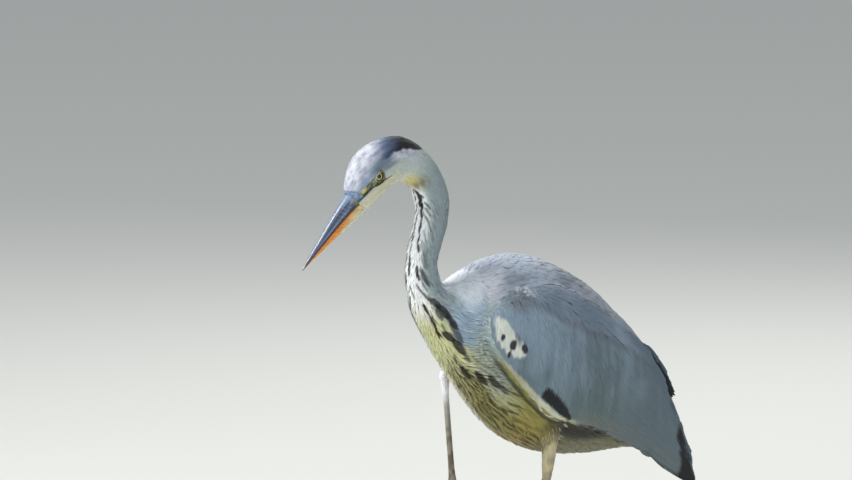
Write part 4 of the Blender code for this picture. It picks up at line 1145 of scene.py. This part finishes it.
def paint(t, region):
    """Linear colour for points in the tables' frame; region: one per point."""
    out = np.zeros((len(t), 3))
    for name, f in (("head", paint_head_neck), ("neck", paint_head_neck), ("trunk", paint_trunk), ("tail", None), ("thigh", None),
                    ("wing_left", lambda q: paint_wing(q, "left")), ("wing_right", lambda q: paint_wing(q, "right"))):
        on = region == REGION[name]
        if not on.any():
            continue
        q = t[on]
        if name == "trunk":
            # runs into the neck's markings without a step
            S = along_line(q)[0]
            w = smooth(0.345, 0.315, S)
            out[on] = mix(paint_trunk(q), paint_head_neck(q), w)
        elif name == "tail":
            s, n = trunk_frame(q)
            g = mix(srgb(0.50, 0.52, 0.56), srgb(0.40, 0.42, 0.455), smooth(0.17, 0.27, s))
            out[on] = g * (0.90 + 0.20 * noise(np.stack([s * 0.1, q[:, 1], n], 1), 0.004, 17))[:, None]
        elif name == "thigh":
            g = mix(srgb(0.76, 0.72, 0.58), srgb(0.64, 0.60, 0.50), smooth(0.35, 0.7, noise(q, 0.010, 18)))
            # the left thigh's top takes on the belly's olive and goes darker still at its rear top: painted shade where
            # the thigh meets the body
            g = mix(g, srgb(0.50, 0.475, 0.330), 0.85 * smooth(0.300, 0.328, q[:, 2]) * (q[:, 1] < 0))
            g = mix(g, srgb(0.29, 0.285, 0.220), 0.85 * smooth(0.304, 0.320, q[:, 2]) * smooth(-0.028, -0.014, q[:, 0]) * (q[:, 1] < 0))
            out[on] = g * (0.88 + 0.24 * noise(np.stack([q[:, 0], q[:, 1], q[:, 2] * 0.15], 1), 0.0022, 19))[:, None]
        else:
            out[on] = f(q)
    return out


REGION = {"head": 0, "neck": 1, "trunk": 2, "tail": 3, "thigh": 4, "wing_left": 5, "wing_right": 6, "leg": 7}


# ---------------------------------------------------------------- lie of the coat
both_co, both_faces, both_of = [], [], []
for k, name in enumerate(FLESH + LIMBS["left"] + LIMBS["right"]):
    c, no, f = node_mesh(name)
    base = sum(len(x) for x in both_co)
    both_co.append(c)
    both_faces += [[i + base for i in face] for face in f]
    both_of += [k] * len(f)
BOTH_TREE = BVHTree.FromPolygons([tuple(c) for c in np.vstack(both_co)], both_faces)
near_node = np.array([both_of[BOTH_TREE.find_nearest(tuple(p))[2]] for p in SKIN_CO])
SKIN_T = table(SKIN_CO)
SKIN_S, SKIN_TAN, SKIN_TH, SKIN_BACK = along_line(SKIN_T)
reg = np.full(len(SKIN_CO), REGION["trunk"])
for k, name in enumerate(FLESH):
    on = near_node == k
    if name == "head":
        reg[on] = np.where(SKIN_S[on] < 0.115, REGION["head"], REGION["neck"])
    elif name.startswith("neck"):
        reg[on] = REGION["neck"]
    elif name.startswith("thigh"):
        reg[on] = REGION["thigh"]
    elif name.startswith("wing") or name == "tail":
        reg[on] = REGION[name]
reg[near_node >= len(FLESH)] = REGION["leg"]
SKIN_REG = reg


def unit(v):
    return v / (np.linalg.norm(v, axis=1)[:, None] + 1e-12)


def lie_of(t, no, region, S, T, th):
    """The way the feathers point, in the surface."""
    d = np.stack([T[:, 0], np.zeros(len(t)), T[:, 1]], 1)
    s, n = trunk_frame(t)
    A, N = np.array([C33, 0.0, -S33]), np.array([S33, 0.0, C33])
    # out from the middle of the foreneck
    m = np.degrees(th - midline(S))
    m = (m + 180) % 360 - 180
    ring = unit(np.cross(d, np.stack([-T[:, 1] * 0, np.ones(len(t)), 0 * S], 1)))
    around = unit(np.cross(d, no))
    out = around * np.sign((around[:, 1] * t[:, 1]))[:, None]
    k = 0.42 * smooth(8, 40, np.abs(m)) * smooth(165, 120, np.abs(m)) * smooth(0.15, 0.20, S) * smooth(0.46, 0.36, S)
    side_out = np.where(m[:, None] < 0, -1.0, 1.0) * np.where(around[:, 1:2] > 0, 1.0, -1.0) * around
    d = d + side_out * k[:, None]
    # wings: along both edges, hanging down between them in front
    for word, hang in (("left", 46.0), ("right", 38.0)):
        on = region == REGION["wing_" + word]
        if on.any():
            x = s[on]
            low, high = edge(WING_LOW[word], x), edge(WING_HIGH[word], x)
            v = np.clip((n[on] - low) / np.maximum(high - low, 1e-4), 0, 1)
            e = 0.012
            along_low = (edge(WING_LOW[word], x + e) - edge(WING_LOW[word], x - e)) / (2 * e)
            along_high = (edge(WING_HIGH[word], x + e) - edge(WING_HIGH[word], x - e)) / (2 * e)
            along_low, along_high = np.clip(along_low, -0.6, 0.5), np.clip(along_high, -0.75, 0.15)
            rim_ = -np.arctan(along_low + (along_high - along_low) * v)
            w = np.maximum(smooth(0.02, 0.15, x), np.maximum(smooth(0.16, 0.02, v), smooth(0.72, 0.92, v)))
            phi = rim_ * w + np.radians(hang) * (1 - w)
            d[on] = A * np.cos(phi)[:, None] - N * np.sin(phi)[:, None]
    for word in ("left", "right"):
        on = (region == REGION["thigh"]) & (t[:, 1] * (LEFT if word == "left" else RIGHT) > 0)
        d[on] = np.array([-0.12, 0.0, -0.99]) if word == "left" else np.array([-0.96, 0.14, 0.20])
    d = d - no * np.einsum("ij,ij->i", d, no)[:, None]
    return unit(d)


SKIN_LIE = lie_of(SKIN_T, SKIN_NO, SKIN_REG, SKIN_S, SKIN_TAN, SKIN_TH)
SKIN_COAT = coat_depth(SKIN_CO, np.where(near_node < len(FLESH), near_node, IS["thigh_left"]))
SKIN_TREE = BVHTree.FromPolygons([tuple(c) for c in SKIN_CO], [tuple(int(i) for i in f) for f in SKIN_TRI])


def nearest(p):
    """The nearest skin points and their triangles."""
    q = np.empty_like(p)
    idx = np.empty(len(p), int)
    find = SKIN_TREE.find_nearest
    for i, v in enumerate(p):
        hit = find(v)
        q[i] = hit[0]
        idx[i] = hit[2]
    return q, idx


def of_triangle(values, idx):
    return values[SKIN_TRI[idx]].mean(axis=1)


def cere(a, u):
    """The horn runs back over the base of the upper half of the bill."""
    return (u > 0.0035) * smooth(-0.0006, 0.0004, a - np.interp(u, [0.0047, 0.0142, 0.0192, 0.0210], [-0.0105, -0.0090, -0.0058, -0.0030]))


# where the face is bare: lore, under the eye, round it
def bare(t):
    a, u = head_frame(t)
    side = smooth(0.0070, 0.0110, np.abs(t[:, 1]))
    ring = 1 - smooth(0.0080, 0.0090, np.hypot((a - EYE_A) / 1.12, u - EYE_U))
    lore = blob(a, u, -0.0190, 0.0078, 0.0215, 0.0046, -0.10, 0.2)
    below = blob(a, u, -0.0390, 0.0015, 0.0115, 0.0044, 0.10, 0.2)
    return np.maximum(np.maximum(np.maximum(ring, lore), below) * side, cere(a, u))


# the breast's marks, laid on the skin below the coat
MARKS = []
for a, b, half, ink in BREAST_MARKS:
    ends = [table(np.array([SKIN_TREE.find_nearest(tuple(place(np.array([e]))[0]))[0]]))[0] for e in (a, b)]
    MARKS.append((ends[0], ends[1], half * 1.18, ink))

# skin's own colours
skin_rgb = paint(SKIN_T, SKIN_REG)
bare_w = bare(SKIN_T)
a_, u_ = head_frame(SKIN_T)
lore_n = noise(SKIN_T, 0.0022, 51)
lore_col = mix(srgb(0.47, 0.49, 0.37), srgb(0.27, 0.28, 0.19), smooth(0.35, 0.75, lore_n))
lore_col = mix(lore_col, srgb(0.56, 0.54, 0.25), 0.8 * blob(a_, u_, -0.0400, 0.0005, 0.0080, 0.0030, 0.1, 0.7) * smooth(0.7, 0.4, lore_n))
lore_col = mix(lore_col, srgb(0.80, 0.78, 0.45), 0.95 * blob(a_, u_, -0.0160, 0.0098, 0.0048, 0.0034, -0.3, 0.4))
lore_col = mix(lore_col, srgb(0.66, 0.47, 0.20), 0.6 * blob(a_, u_, -0.0190, 0.0115, 0.0022, 0.0016, 0.0, 0.6))
lore_col = mix(lore_col, srgb(0.66, 0.66, 0.46), 0.7 * blob(a_, u_, -0.0330, 0.0085, 0.0032, 0.0016, 0.2, 0.6))
lore_col = mix(lore_col, srgb(0.125, 0.125, 0.080), 0.85 * smooth(1.5, 0.6, np.abs(u_ - np.interp(a_, [-0.0467, -0.0407, -0.0289, -0.0197, -0.0032], [-0.0028, -0.0020, 0.0030, 0.0036, 0.0028])) / 0.0013))
lore_col = mix(lore_col, mix(srgb(0.36, 0.43, 0.55), srgb(0.50, 0.57, 0.67), smooth(0.3, 0.7, lore_n)), cere(a_, u_))
skin_rgb = mix(skin_rgb * 0.92, lore_col, bare_w)
leg_on = SKIN_REG == REGION["leg"]
leg_n = noise(SKIN_CO, 0.006, 25)
leg_rgb = mix(srgb(0.50, 0.47, 0.40), srgb(0.36, 0.335, 0.29), smooth(0.3, 0.7, leg_n))
raised = SKIN_CO[:, 1] > 0.02
# the raised leg paler up towards the ankle and near white at the joint: a painted sunlit highlight
leg_rgb = mix(leg_rgb, srgb(0.60, 0.60, 0.58), 0.7 * raised * smooth(0.27, 0.34, SKIN_CO[:, 2]))
leg_rgb = mix(leg_rgb, srgb(0.89, 0.885, 0.92), 0.95 * raised * smooth(0.325, 0.350, SKIN_CO[:, 2] + 0.006 * (leg_n - 0.5)))
skin_rgb = np.where(leg_on[:, None], leg_rgb, skin_rgb)
set_colour(skin_me, skin_rgb)


# ---------------------------------------------------------------- roots
tri_co = SKIN_CO[SKIN_TRI]
tri_area = 0.5 * np.linalg.norm(np.cross(tri_co[:, 1] - tri_co[:, 0], tri_co[:, 2] - tri_co[:, 0]), axis=1)
tri_reg = SKIN_REG[SKIN_TRI[:, 0]]


def roots(mask, gap_at, tries=5.0):
    """Roots on the masked triangles, no two closer than gap_at(points)."""
    idx = np.where(mask)[0]
    mid = tri_co[idx].mean(axis=1)
    g = gap_at(mid, idx)
    want = tri_area[idx] / (g ** 2 * 0.80) * tries
    n = int(want.sum())
    pick = RNG.choice(len(idx), size=n, p=want / want.sum())
    r1, r2 = np.sqrt(RNG.random(n)), RNG.random(n)
    w = np.stack([1 - r1, r1 * (1 - r2), r1 * r2], 1)
    p = np.einsum("ij,ijk->ik", w, tri_co[idx[pick]])
    gg = g[pick]
    cell = float(gg.max())
    grid, keep = {}, []
    keys = np.floor(p / cell).astype(int)
    for i in range(n):
        kx, ky, kz = keys[i]
        q, r = p[i], gg[i] ** 2
        ok = True
        for dx in (-1, 0, 1):
            for dy in (-1, 0, 1):
                for dz in (-1, 0, 1):
                    for o in grid.get((kx + dx, ky + dy, kz + dz), ()):
                        e = q - o
                        if e[0] * e[0] + e[1] * e[1] + e[2] * e[2] < r:
                            ok = False
                            break
                    if not ok:
                        break
                if not ok:
                    break
            if not ok:
                break
        if ok:
            grid.setdefault((kx, ky, kz), []).append(q)
            keep.append(i)
    keep = np.array(keep)
    return p[keep], idx[pick[keep]]


def vane_profile(f, blunt):
    """Half width along a feather, root 0 to tip 1."""
    w = (0.22 + 0.78 * smooth(0.0, 0.45, f)) * np.clip(1 - f ** (2.2 + 3.0 * blunt), 0, 1) ** (0.75 - 0.25 * blunt)
    return np.maximum(w, 0.035)


def bake_place(t, region):
    """The skin's own unwrap: round and along the line, the wings apart."""
    S, T, th, back_ = along_line(t)
    s, n = trunk_frame(t)
    uv = np.stack([0.02 + 0.60 * (S / LINE_S[-1]), 0.02 + 0.96 * (th + math.pi) / (2 * math.pi)], 1)
    for k, word in enumerate(("left", "right")):
        on = region == REGION["wing_" + word]
        inner = np.abs(t[:, 1]) < 0.055
        u = 0.66 + 0.14 * np.clip((s + 0.17) / 0.49, 0, 1) + 0.16 * inner
        v = 0.03 + 0.46 * k + 0.42 * np.clip((n + 0.10) / 0.22, 0, 1)
        uv[on] = np.stack([u, v], 1)[on]
    on = region == REGION["thigh"]
    uv[on] = np.stack([0.66 + 0.30 * (t[:, 1] > 0) * 0.5 + 0.12 * (np.arctan2(t[:, 1] + np.where(t[:, 1] > 0, -0.045, 0.039), t[:, 0] + 0.03) / math.pi + 1) / 2, 0.955 + 0.04 * np.clip((t[:, 2] - 0.24) / 0.16, 0, 1)], 1)[on]
    return uv


COAT_TRIS = {}


def march(root, tri, length, turn, rings, flat=False):
    """Centre lines along the lie; where the surface ends they go straight
    on. On a flat part they don't turn over its edge."""
    c, nn, dd = root.copy(), unit(of_triangle(SKIN_NO, tri)), unit(of_triangle(SKIN_LIE, tri))
    depth = of_triangle(SKIN_COAT, tri)
    spine, norm, way, deep, on = [c], [nn], [dd], [depth], [np.ones(len(root), bool)]
    step = (length / (rings - 1))[:, None]
    ct, st = np.cos(turn)[:, None], np.sin(turn)[:, None]
    for k in range(1, rings):
        d = dd * ct + np.cross(nn, dd) * st
        q = c + d * step
        h, idx = nearest(q)
        hn = unit(of_triangle(SKIN_NO, idx))
        gone = (np.einsum("ij,ij->i", hn, nn) < 0.45) | (np.linalg.norm(h - q, axis=1) > 0.45 * step[:, 0] + 0.0012)
        if flat:
            gone |= np.einsum("ij,ij->i", hn, norm[0]) < 0.45
        c = np.where(gone[:, None], q, h)
        nn = np.where(gone[:, None], nn, hn)
        nd = unit(of_triangle(SKIN_LIE, idx))
        bad = gone | (np.einsum("ij,ij->i", nd, dd) < 0.3)
        dd = np.where(bad[:, None], dd, nd)
        depth = np.where(gone, depth, of_triangle(SKIN_COAT, idx))
        spine.append(c)
        norm.append(nn)
        way.append(d)
        deep.append(depth)
        on.append(~gone)
    return spine, norm, way, deep, np.stack(on, 1)


def feathers(name, root, tri, length, width, region, rings=6, blunt=0.4, lift=1.0, stray=0.10, base_lift=0.12, camber=0.16, tone=0.06, look=None,
             slot_name="plumage_grey", over=0.003, look_ahead=1):
    """Vanes from root points, each a closed sliver that follows the skin."""
    n = len(root)
    if n == 0:
        return None
    rnd = RNG.random((n, 4))
    length = length * (0.85 + 0.30 * rnd[:, 0])
    width = width * (0.85 + 0.30 * rnd[:, 1])
    turn = stray * (RNG.standard_normal(n))
    # shorten those that would stand out past the edge of the surface
    fine = rings * look_ahead
    on = march(root, tri, length, turn, fine, look_ahead > 1)[4]
    first = np.where(on.all(axis=1), fine, np.argmin(on, axis=1))
    most = np.maximum((first - 1) / (fine - 1) * length + over, 0.30 * length)
    width = width * np.clip(most / length, 0.6, 1.0)
    length = np.minimum(length, most)
    if look_ahead > 1:
        # leave out those that would still stand off the surface
        tip = march(root, tri, length, turn, rings, True)[0][-1]
        keep = np.linalg.norm(nearest(tip)[0] - tip, axis=1) < over + 0.004
        root, tri, length, width, turn, rnd, region = (x[keep] for x in (root, tri, length, width, turn, rnd, region))
        n = len(root)
    spine, norm, way, deep, on = march(root, tri, length, turn, rings, look_ahead > 1)
    spine, norm, way, deep = (np.stack(x, 1) for x in (spine, norm, way, deep))
    f = np.linspace(0, 1, rings)[None, :]
    height = deep * (base_lift + (lift - base_lift) * f ** 0.85) * (0.88 + 0.24 * rnd[:, 2:3]) + 0.00012
    half = 0.5 * width[:, None] * vane_profile(f, blunt)
    side = unit(np.cross(norm, way).reshape(-1, 3)).reshape(norm.shape)
    top = spine + norm * (height + camber * half)[:, :, None]
    cols = []
    for sgn in (1.0, -1.0):
        e = spine + side * (sgn * half)[:, :, None]
        h, idx = nearest(e.reshape(-1, 3))
        hn = unit(of_triangle(SKIN_NO, idx)).reshape(norm.shape)
        h = h.reshape(e.shape)
        off = (np.einsum("ijk,ijk->ij", hn, norm) < 0.5) | (np.linalg.norm(h - e, axis=2) > 0.5 * half + 0.0008)
        h = np.where(off[:, :, None], e, h)
        hn = np.where(off[:, :, None], norm, hn)
        cols.append(h + hn * height[:, :, None])
    verts = np.stack([cols[0], top, cols[1]], 2)          # n, rings, 3, xyz
    nv = rings * 3
    base = (np.arange(n) * nv)[:, None, None]
    quads = []
    for k in range(rings - 1):
        for j in range(3):
            j2 = (j + 1) % 3
            quads.append([k * 3 + j, k * 3 + j2, (k + 1) * 3 + j2, (k + 1) * 3 + j])
    quads = np.array(quads)[None] + base
    caps = np.array([[2, 1, 0], [(rings - 1) * 3, (rings - 1) * 3 + 1, (rings - 1) * 3 + 2]])[None] + base
    quads, caps = quads.reshape(-1, 4), caps.reshape(-1, 3)
    co = verts.reshape(-1, 3)
    me = bpy.data.meshes.new(name)
    me.vertices.add(len(co))
    me.vertices.foreach_set("co", co.astype(np.float32).ravel())
    loops = np.concatenate([quads.ravel(), caps.ravel()]).astype(np.int32)
    me.loops.add(len(loops))
    me.loops.foreach_set("vertex_index", loops)
    starts = np.concatenate([np.arange(len(quads)) * 4, len(quads) * 4 + np.arange(len(caps)) * 3]).astype(np.int32)
    me.polygons.add(len(starts))
    me.polygons.foreach_set("loop_start", starts)
    me.polygons.foreach_set("use_smooth", np.ones(len(starts), bool))
    # colour where the vane lies on the bird, each feather a touch its own
    onskin = (verts - norm[:, :, None, :] * height[:, :, None, None]).reshape(-1, 3)
    regs = np.repeat(region, nv)
    rgb = paint(table(onskin), regs).reshape(n, rings, 3, 3)
    own = (1 + tone * (2 * RNG.random(n) - 1))[:, None, None, None]
    rgb = rgb * own
    rgb[:, :, 1] *= 0.965
    # each feather darker at its root ring: painted shade under the feathers that lie over it
    rgb[:, :1] *= 0.93
    set_colour_now = np.ones((len(co), 4), np.float32)
    set_colour_now[:, :3] = np.clip(rgb.reshape(-1, 3), 0, 1)
    att = me.color_attributes.new("plumage", "FLOAT_COLOR", "POINT")
    att.data.foreach_set("color", set_colour_now.ravel())
    # OFBake: each feather a patch 0.003 across at its root's place
    place_uv = bake_place(table(root), region)
    local = np.stack([np.broadcast_to(np.array([-0.0014, 0.0, 0.0014]), (rings, 3)), np.broadcast_to((np.linspace(-0.0014, 0.0014, rings))[:, None], (rings, 3))], 2)
    uv = (place_uv[:, None, None, :] + local[None]).reshape(-1, 2)
    layer = me.uv_layers.new(name="OFBake")
    layer.data.foreach_set("uv", uv[loops].astype(np.float32).ravel())
    vane = np.stack([np.broadcast_to(np.array([0.0, 0.5, 1.0]), (n, rings, 3)), np.broadcast_to(f[:, :, None], (n, rings, 3)) * (length / width)[:, None, None]], 3).reshape(-1, 2)
    layer2 = me.uv_layers.new(name="vane")
    layer2.data.foreach_set("uv", vane[loops].astype(np.float32).ravel())
    me.update(calc_edges=True)
    me.validate(clean_customdata=False)
    # shade more like the coat as a whole than like each sliver
    geo = np.empty(len(me.vertices) * 3, np.float32)
    me.vertices.foreach_get("normal", geo)
    geo = geo.reshape(-1, 3)
    want = np.repeat(norm.reshape(-1, 3), 3, axis=0)
    soft = unit(want * 0.85 + geo * 0.28)
    # the underside looks away from the skin's outer side
    per = soft[loops]
    lower = np.zeros(len(loops), bool)
    lower[:len(quads) * 4] = np.repeat(np.arange(len(quads)) % 3 == 2, 4)
    per[lower] = -want[loops[lower]]
    me.normals_split_custom_set(per.tolist())
    me.materials.append(look)
    obj = new_object(name, me)
    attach(obj, "root")
    COAT_TRIS[name] = len(quads) * 2 + len(caps)
    return obj


def feather_material(name, rough, sheen):
    """Feather: barbs run out and forward from the shaft."""
    m, b, colour = material(name, rough, specular=0.25, sheen=sheen)
    nodes, link = links(m)
    uv = add(nodes, "ShaderNodeUVMap", uv_map="vane")
    sep = nodes.new("ShaderNodeSeparateXYZ")
    link.new(uv.outputs["UV"], sep.inputs["Vector"])
    fold = nodes.new("ShaderNodeMath")
    fold.operation = "SUBTRACT"
    fold.inputs[1].default_value = 0.5
    link.new(sep.outputs["X"], fold.inputs[0])
    away = nodes.new("ShaderNodeMath")
    away.operation = "ABSOLUTE"
    link.new(fold.outputs[0], away.inputs[0])
    slope = nodes.new("ShaderNodeMath")
    slope.operation = "MULTIPLY_ADD"
    slope.inputs[1].default_value = -1.1
    link.new(away.outputs[0], slope.inputs[0])
    link.new(sep.outputs["Y"], slope.inputs[2])
    comb = nodes.new("ShaderNodeCombineXYZ")
    link.new(slope.outputs[0], comb.inputs["X"])
    at = add(nodes, "ShaderNodeTexCoord")
    jitter = add(nodes, "ShaderNodeTexNoise", Scale=140.0, Detail=2.0)
    link.new(at.outputs["Object"], jitter.inputs["Vector"])
    link.new(jitter.outputs["Fac"], comb.inputs["Y"])
    barbs = add(nodes, "ShaderNodeTexNoise", Scale=16.0, Detail=2.0)
    link.new(comb.outputs["Vector"], barbs.inputs["Vector"])
    span = nodes.new("ShaderNodeMapRange")
    span.inputs["From Min"].default_value, span.inputs["From Max"].default_value = 0.3, 0.7
    span.inputs["To Min"].default_value, span.inputs["To Max"].default_value = 0.86, 1.12
    link.new(barbs.outputs["Fac"], span.inputs["Value"])
    mul = nodes.new("ShaderNodeVectorMath")
    mul.operation = "SCALE"
    link.new(colour.outputs["Color"], mul.inputs[0])
    link.new(span.outputs["Result"], mul.inputs["Scale"])
    link.new(mul.outputs["Vector"], b.inputs["Base Color"])
    bn = nodes.new("ShaderNodeBump")
    bn.inputs["Strength"].default_value, bn.inputs["Distance"].default_value = 0.30, 0.0003
    link.new(barbs.outputs["Fac"], bn.inputs["Height"])
    link.new(bn.outputs["Normal"], b.inputs["Normal"])
    return m


feather_mat = feather_material("feather", 0.72, 0.12)
vane_mat = feather_material("flight_feather", 0.52, 0.05)


def covered(p, no):
    """True where another part of the skin lies close over the point."""
    out = np.zeros(len(p), bool)
    for i in range(len(p)):
        hit = SKIN_TREE.ray_cast(Vector(p[i] + no[i] * 0.0012), Vector(no[i]), 0.010)
        out[i] = hit[0] is not None
    return out


THIN = 1.0


def patch(name, mask, length_at, ratio, pack=0.34, **kw):
    """Roots and feathers over part of the skin."""
    def gap(mid, idx):
        L = length_at(mid, idx)
        return pack * THIN * np.sqrt(L * L * ratio)
    p, tri = roots(mask, gap)
    no = unit(of_triangle(SKIN_NO, tri))
    keep = ~covered(p, no)
    keep &= bare(table(p)) < 0.5
    p, tri = p[keep], tri[keep]
    L = length_at(p, tri)
    return feathers(name, p, tri, L, L * ratio, tri_reg[tri], **kw)


def s_of(idx):
    return SKIN_S[SKIN_TRI[idx]].mean(axis=1)


def m_of(idx):
    m = np.degrees(SKIN_TH[SKIN_TRI[idx]][:, 0] - midline(s_of(idx)))
    return np.abs((m + 180) % 360 - 180)


SN = np.stack(trunk_frame(SKIN_T), 1)


def sn_of(idx):
    v = SN[SKIN_TRI[idx]].mean(axis=1)
    return v[:, 0], v[:, 1]


is_head = tri_reg == REGION["head"]
is_neck = tri_reg == REGION["neck"]
is_trunk = tri_reg == REGION["trunk"]
all_s = s_of(np.arange(len(SKIN_TRI)))
all_m = m_of(np.arange(len(SKIN_TRI)))
all_t = SKIN_T[SKIN_TRI].mean(axis=1)
ahead, upw = head_frame(all_t)

# skin under the bill carries feathers on its lower side only
beneath = (ahead > -0.002) & (SKIN_NO[SKIN_TRI].mean(axis=1) @ (place(np.array([BILL_UP]))[0] - place(np.zeros((1, 3)))[0]) < -0.05 * YOUNG)
head_on = is_head & ((ahead < -0.001) | (beneath & (ahead < 0.052)))

patch("coat_head", head_on & (all_m > 60), lambda p, i: 0.0032 + 0.0044 * smooth(0.02, 0.085, s_of(i)), 0.34, rings=5, lift=1.0, blunt=0.2, camber=0.22,
      stray=0.10, tone=0.10, over=0.0012, look=feather_mat, slot_name="plumage_pale")
patch("coat_chin", head_on & (all_m <= 60), lambda p, i: 0.0062 + 0.0030 * smooth(0.03, 0.10, s_of(i)), 0.26, rings=6, lift=1.3, blunt=0.1, camber=0.22,
      stray=0.16, tone=0.08, over=0.002, look=feather_mat, slot_name="plumage_pale")
patch("coat_neck", is_neck, lambda p, i: 0.0085 + 0.0050 * smooth(0.12, 0.30, s_of(i)), 0.25, pack=0.33, rings=6, blunt=0.15, camber=0.22, stray=0.12,
      tone=0.08, look=feather_mat, slot_name="plumage_pale")
under = is_trunk & (all_m < 100)
patch("coat_breast", under & (all_s < 0.47), lambda p, i: 0.015 + 0.008 * smooth(0.33, 0.42, s_of(i)), 0.21, pack=0.33, rings=8, blunt=0.1, stray=0.07,
      look=feather_mat, slot_name="plumage_pale")
patch("coat_belly", under & (all_s >= 0.47), lambda p, i: 0.023 + 0 * p[:, 0], 0.24, pack=0.34, rings=6, blunt=0.15, stray=0.13, look=feather_mat,
      slot_name="plumage_pale")
patch("coat_back", is_trunk & (all_m >= 100), lambda p, i: 0.020 + 0.014 * smooth(0.36, 0.50, s_of(i)), 0.30, pack=0.30, rings=7, lift=0.55, blunt=0.3,
      stray=0.04, camber=0.07, tone=0.035, look=feather_mat)
patch("coat_thighs", tri_reg == REGION["thigh"], lambda p, i: 0.0105 + 0 * p[:, 0], 0.26, pack=0.33, rings=5, blunt=0.1, over=0.001, look=feather_mat,
      slot_name="plumage_buff")
patch("coat_tail", tri_reg == REGION["tail"], lambda p, i: 0.062 + 0 * p[:, 0], 0.20, pack=0.25, rings=10, blunt=0.85, stray=0.010, camber=0.06, over=0.0008,
      look_ahead=4, look=vane_mat)
all_sn = sn_of(np.arange(len(SKIN_TRI)))
for word in ("left", "right"):
    on = tri_reg == REGION["wing_" + word]
    mantle = all_sn[1] > edge(WING_LINE, all_sn[0])
    # long quills of the hind wing, then coverts over their roots
    end = 0.304 if word == "left" else 0.268
    patch("flight_" + word, on & (all_sn[0] > 0.02), lambda p, i: np.clip(0.058 + 0.032 * smooth(0.07, 0.18, sn_of(i)[0]), 0.014, np.maximum((end - sn_of(i)[0]) / 0.90, 0.014)), 0.125, pack=0.27, rings=13, blunt=0.55,
          lift=0.55, base_lift=0.05, stray=0.012, camber=0.07, tone=0.05, over=0.0010, look_ahead=4, look=vane_mat, slot_name="plumage_wing")
    patch("coverts_" + word, on & ~mantle & (all_sn[0] < 0.15), lambda p, i: 0.014 + 0.012 * smooth(-0.15, -0.02, sn_of(i)[0]) + 0.010 * smooth(0.06, 0.14, sn_of(i)[0]),
          0.21, pack=0.31, rings=7, blunt=0.25, lift=0.8, base_lift=0.25, stray=0.045, camber=0.10, tone=0.05, over=0.0015, look_ahead=2, look=feather_mat,
          slot_name="plumage_wing")
    patch("scapulars_" + word, on & mantle & (all_sn[0] < 0.16), lambda p, i: 0.024 + 0.022 * smooth(-0.10, 0.04, sn_of(i)[0]), 0.22, pack=0.27, rings=9,
          blunt=0.35, lift=0.9, base_lift=0.3, stray=0.03, camber=0.09, tone=0.045, over=0.002, look=feather_mat)
print("coat", COAT_TRIS, sum(COAT_TRIS.values()))
skin_mat = mottled(*material("skin", 0.55, specular=0.3), 700.0, 0.14, 0.35, 1800.0, 0.00015)
skin_me.materials.clear()
skin_me.materials.append(skin_mat)
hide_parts(*FLESH, *LIMBS["left"], *LIMBS["right"])
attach(skin, "root")


# ---------------------------------------------------------------- floor, light
def plain(name, rgb, rough):
    m = bpy.data.materials.new(name)
    m.use_nodes = True
    b = m.node_tree.nodes["Principled BSDF"]
    b.inputs["Roughness"].default_value = rough
    return m, b


floor_me = bpy.data.meshes.new("floor")
bm = bmesh.new()
bmesh.ops.create_grid(bm, x_segments=1, y_segments=1, size=12.0)
bm.to_mesh(floor_me)
bm.free()
floor = new_object("floor", floor_me)
m, b = plain("floor_pale", (0.8, 0.8, 0.78), 0.9)
noise_node = m.node_tree.nodes.new("ShaderNodeTexNoise")
noise_node.inputs["Scale"].default_value = 1.5
ramp = m.node_tree.nodes.new("ShaderNodeValToRGB")
ramp.color_ramp.elements[0].color = (0.70, 0.71, 0.69, 1)
ramp.color_ramp.elements[1].color = (0.74, 0.75, 0.73, 1)
m.node_tree.links.new(noise_node.outputs["Fac"], ramp.inputs["Fac"])
m.node_tree.links.new(ramp.outputs["Color"], b.inputs["Base Color"])
floor.data.materials.append(m)


def area(name, where, towards, size, watts, colour):
    lamp = bpy.data.objects.new(name, bpy.data.lights.new(name, "AREA"))
    bpy.context.scene.collection.objects.link(lamp)
    lamp.data.shape, lamp.data.size, lamp.data.energy, lamp.data.color = "DISK", size, watts, colour
    lamp.location = where
    lamp.rotation_mode = "QUATERNION"
    lamp.rotation_quaternion = (Vector(towards) - Vector(where)).to_track_quat("-Z", "Y")
    return lamp


MIDDLE = (0.0, 0.0, 0.42)
area("key", (-2.6, 0.7, 3.3), MIDDLE, 1.6, 165.0, (1.0, 0.97, 0.92))
area("fill", (-2.2, -3.4, 1.9), MIDDLE, 3.0, 44.0, (0.90, 0.95, 1.0))
area("rim", (2.6, 1.8, 2.4), MIDDLE, 1.8, 36.0, (1.0, 0.98, 0.94))
world = bpy.data.worlds.new("studio")
world.use_nodes = True
world.node_tree.nodes["Background"].inputs["Color"].default_value = (0.80, 0.84, 0.86, 1)
world.node_tree.nodes["Background"].inputs["Strength"].default_value = 0.54
bpy.context.scene.world = world
bpy.context.scene.view_settings.view_transform = "Standard"
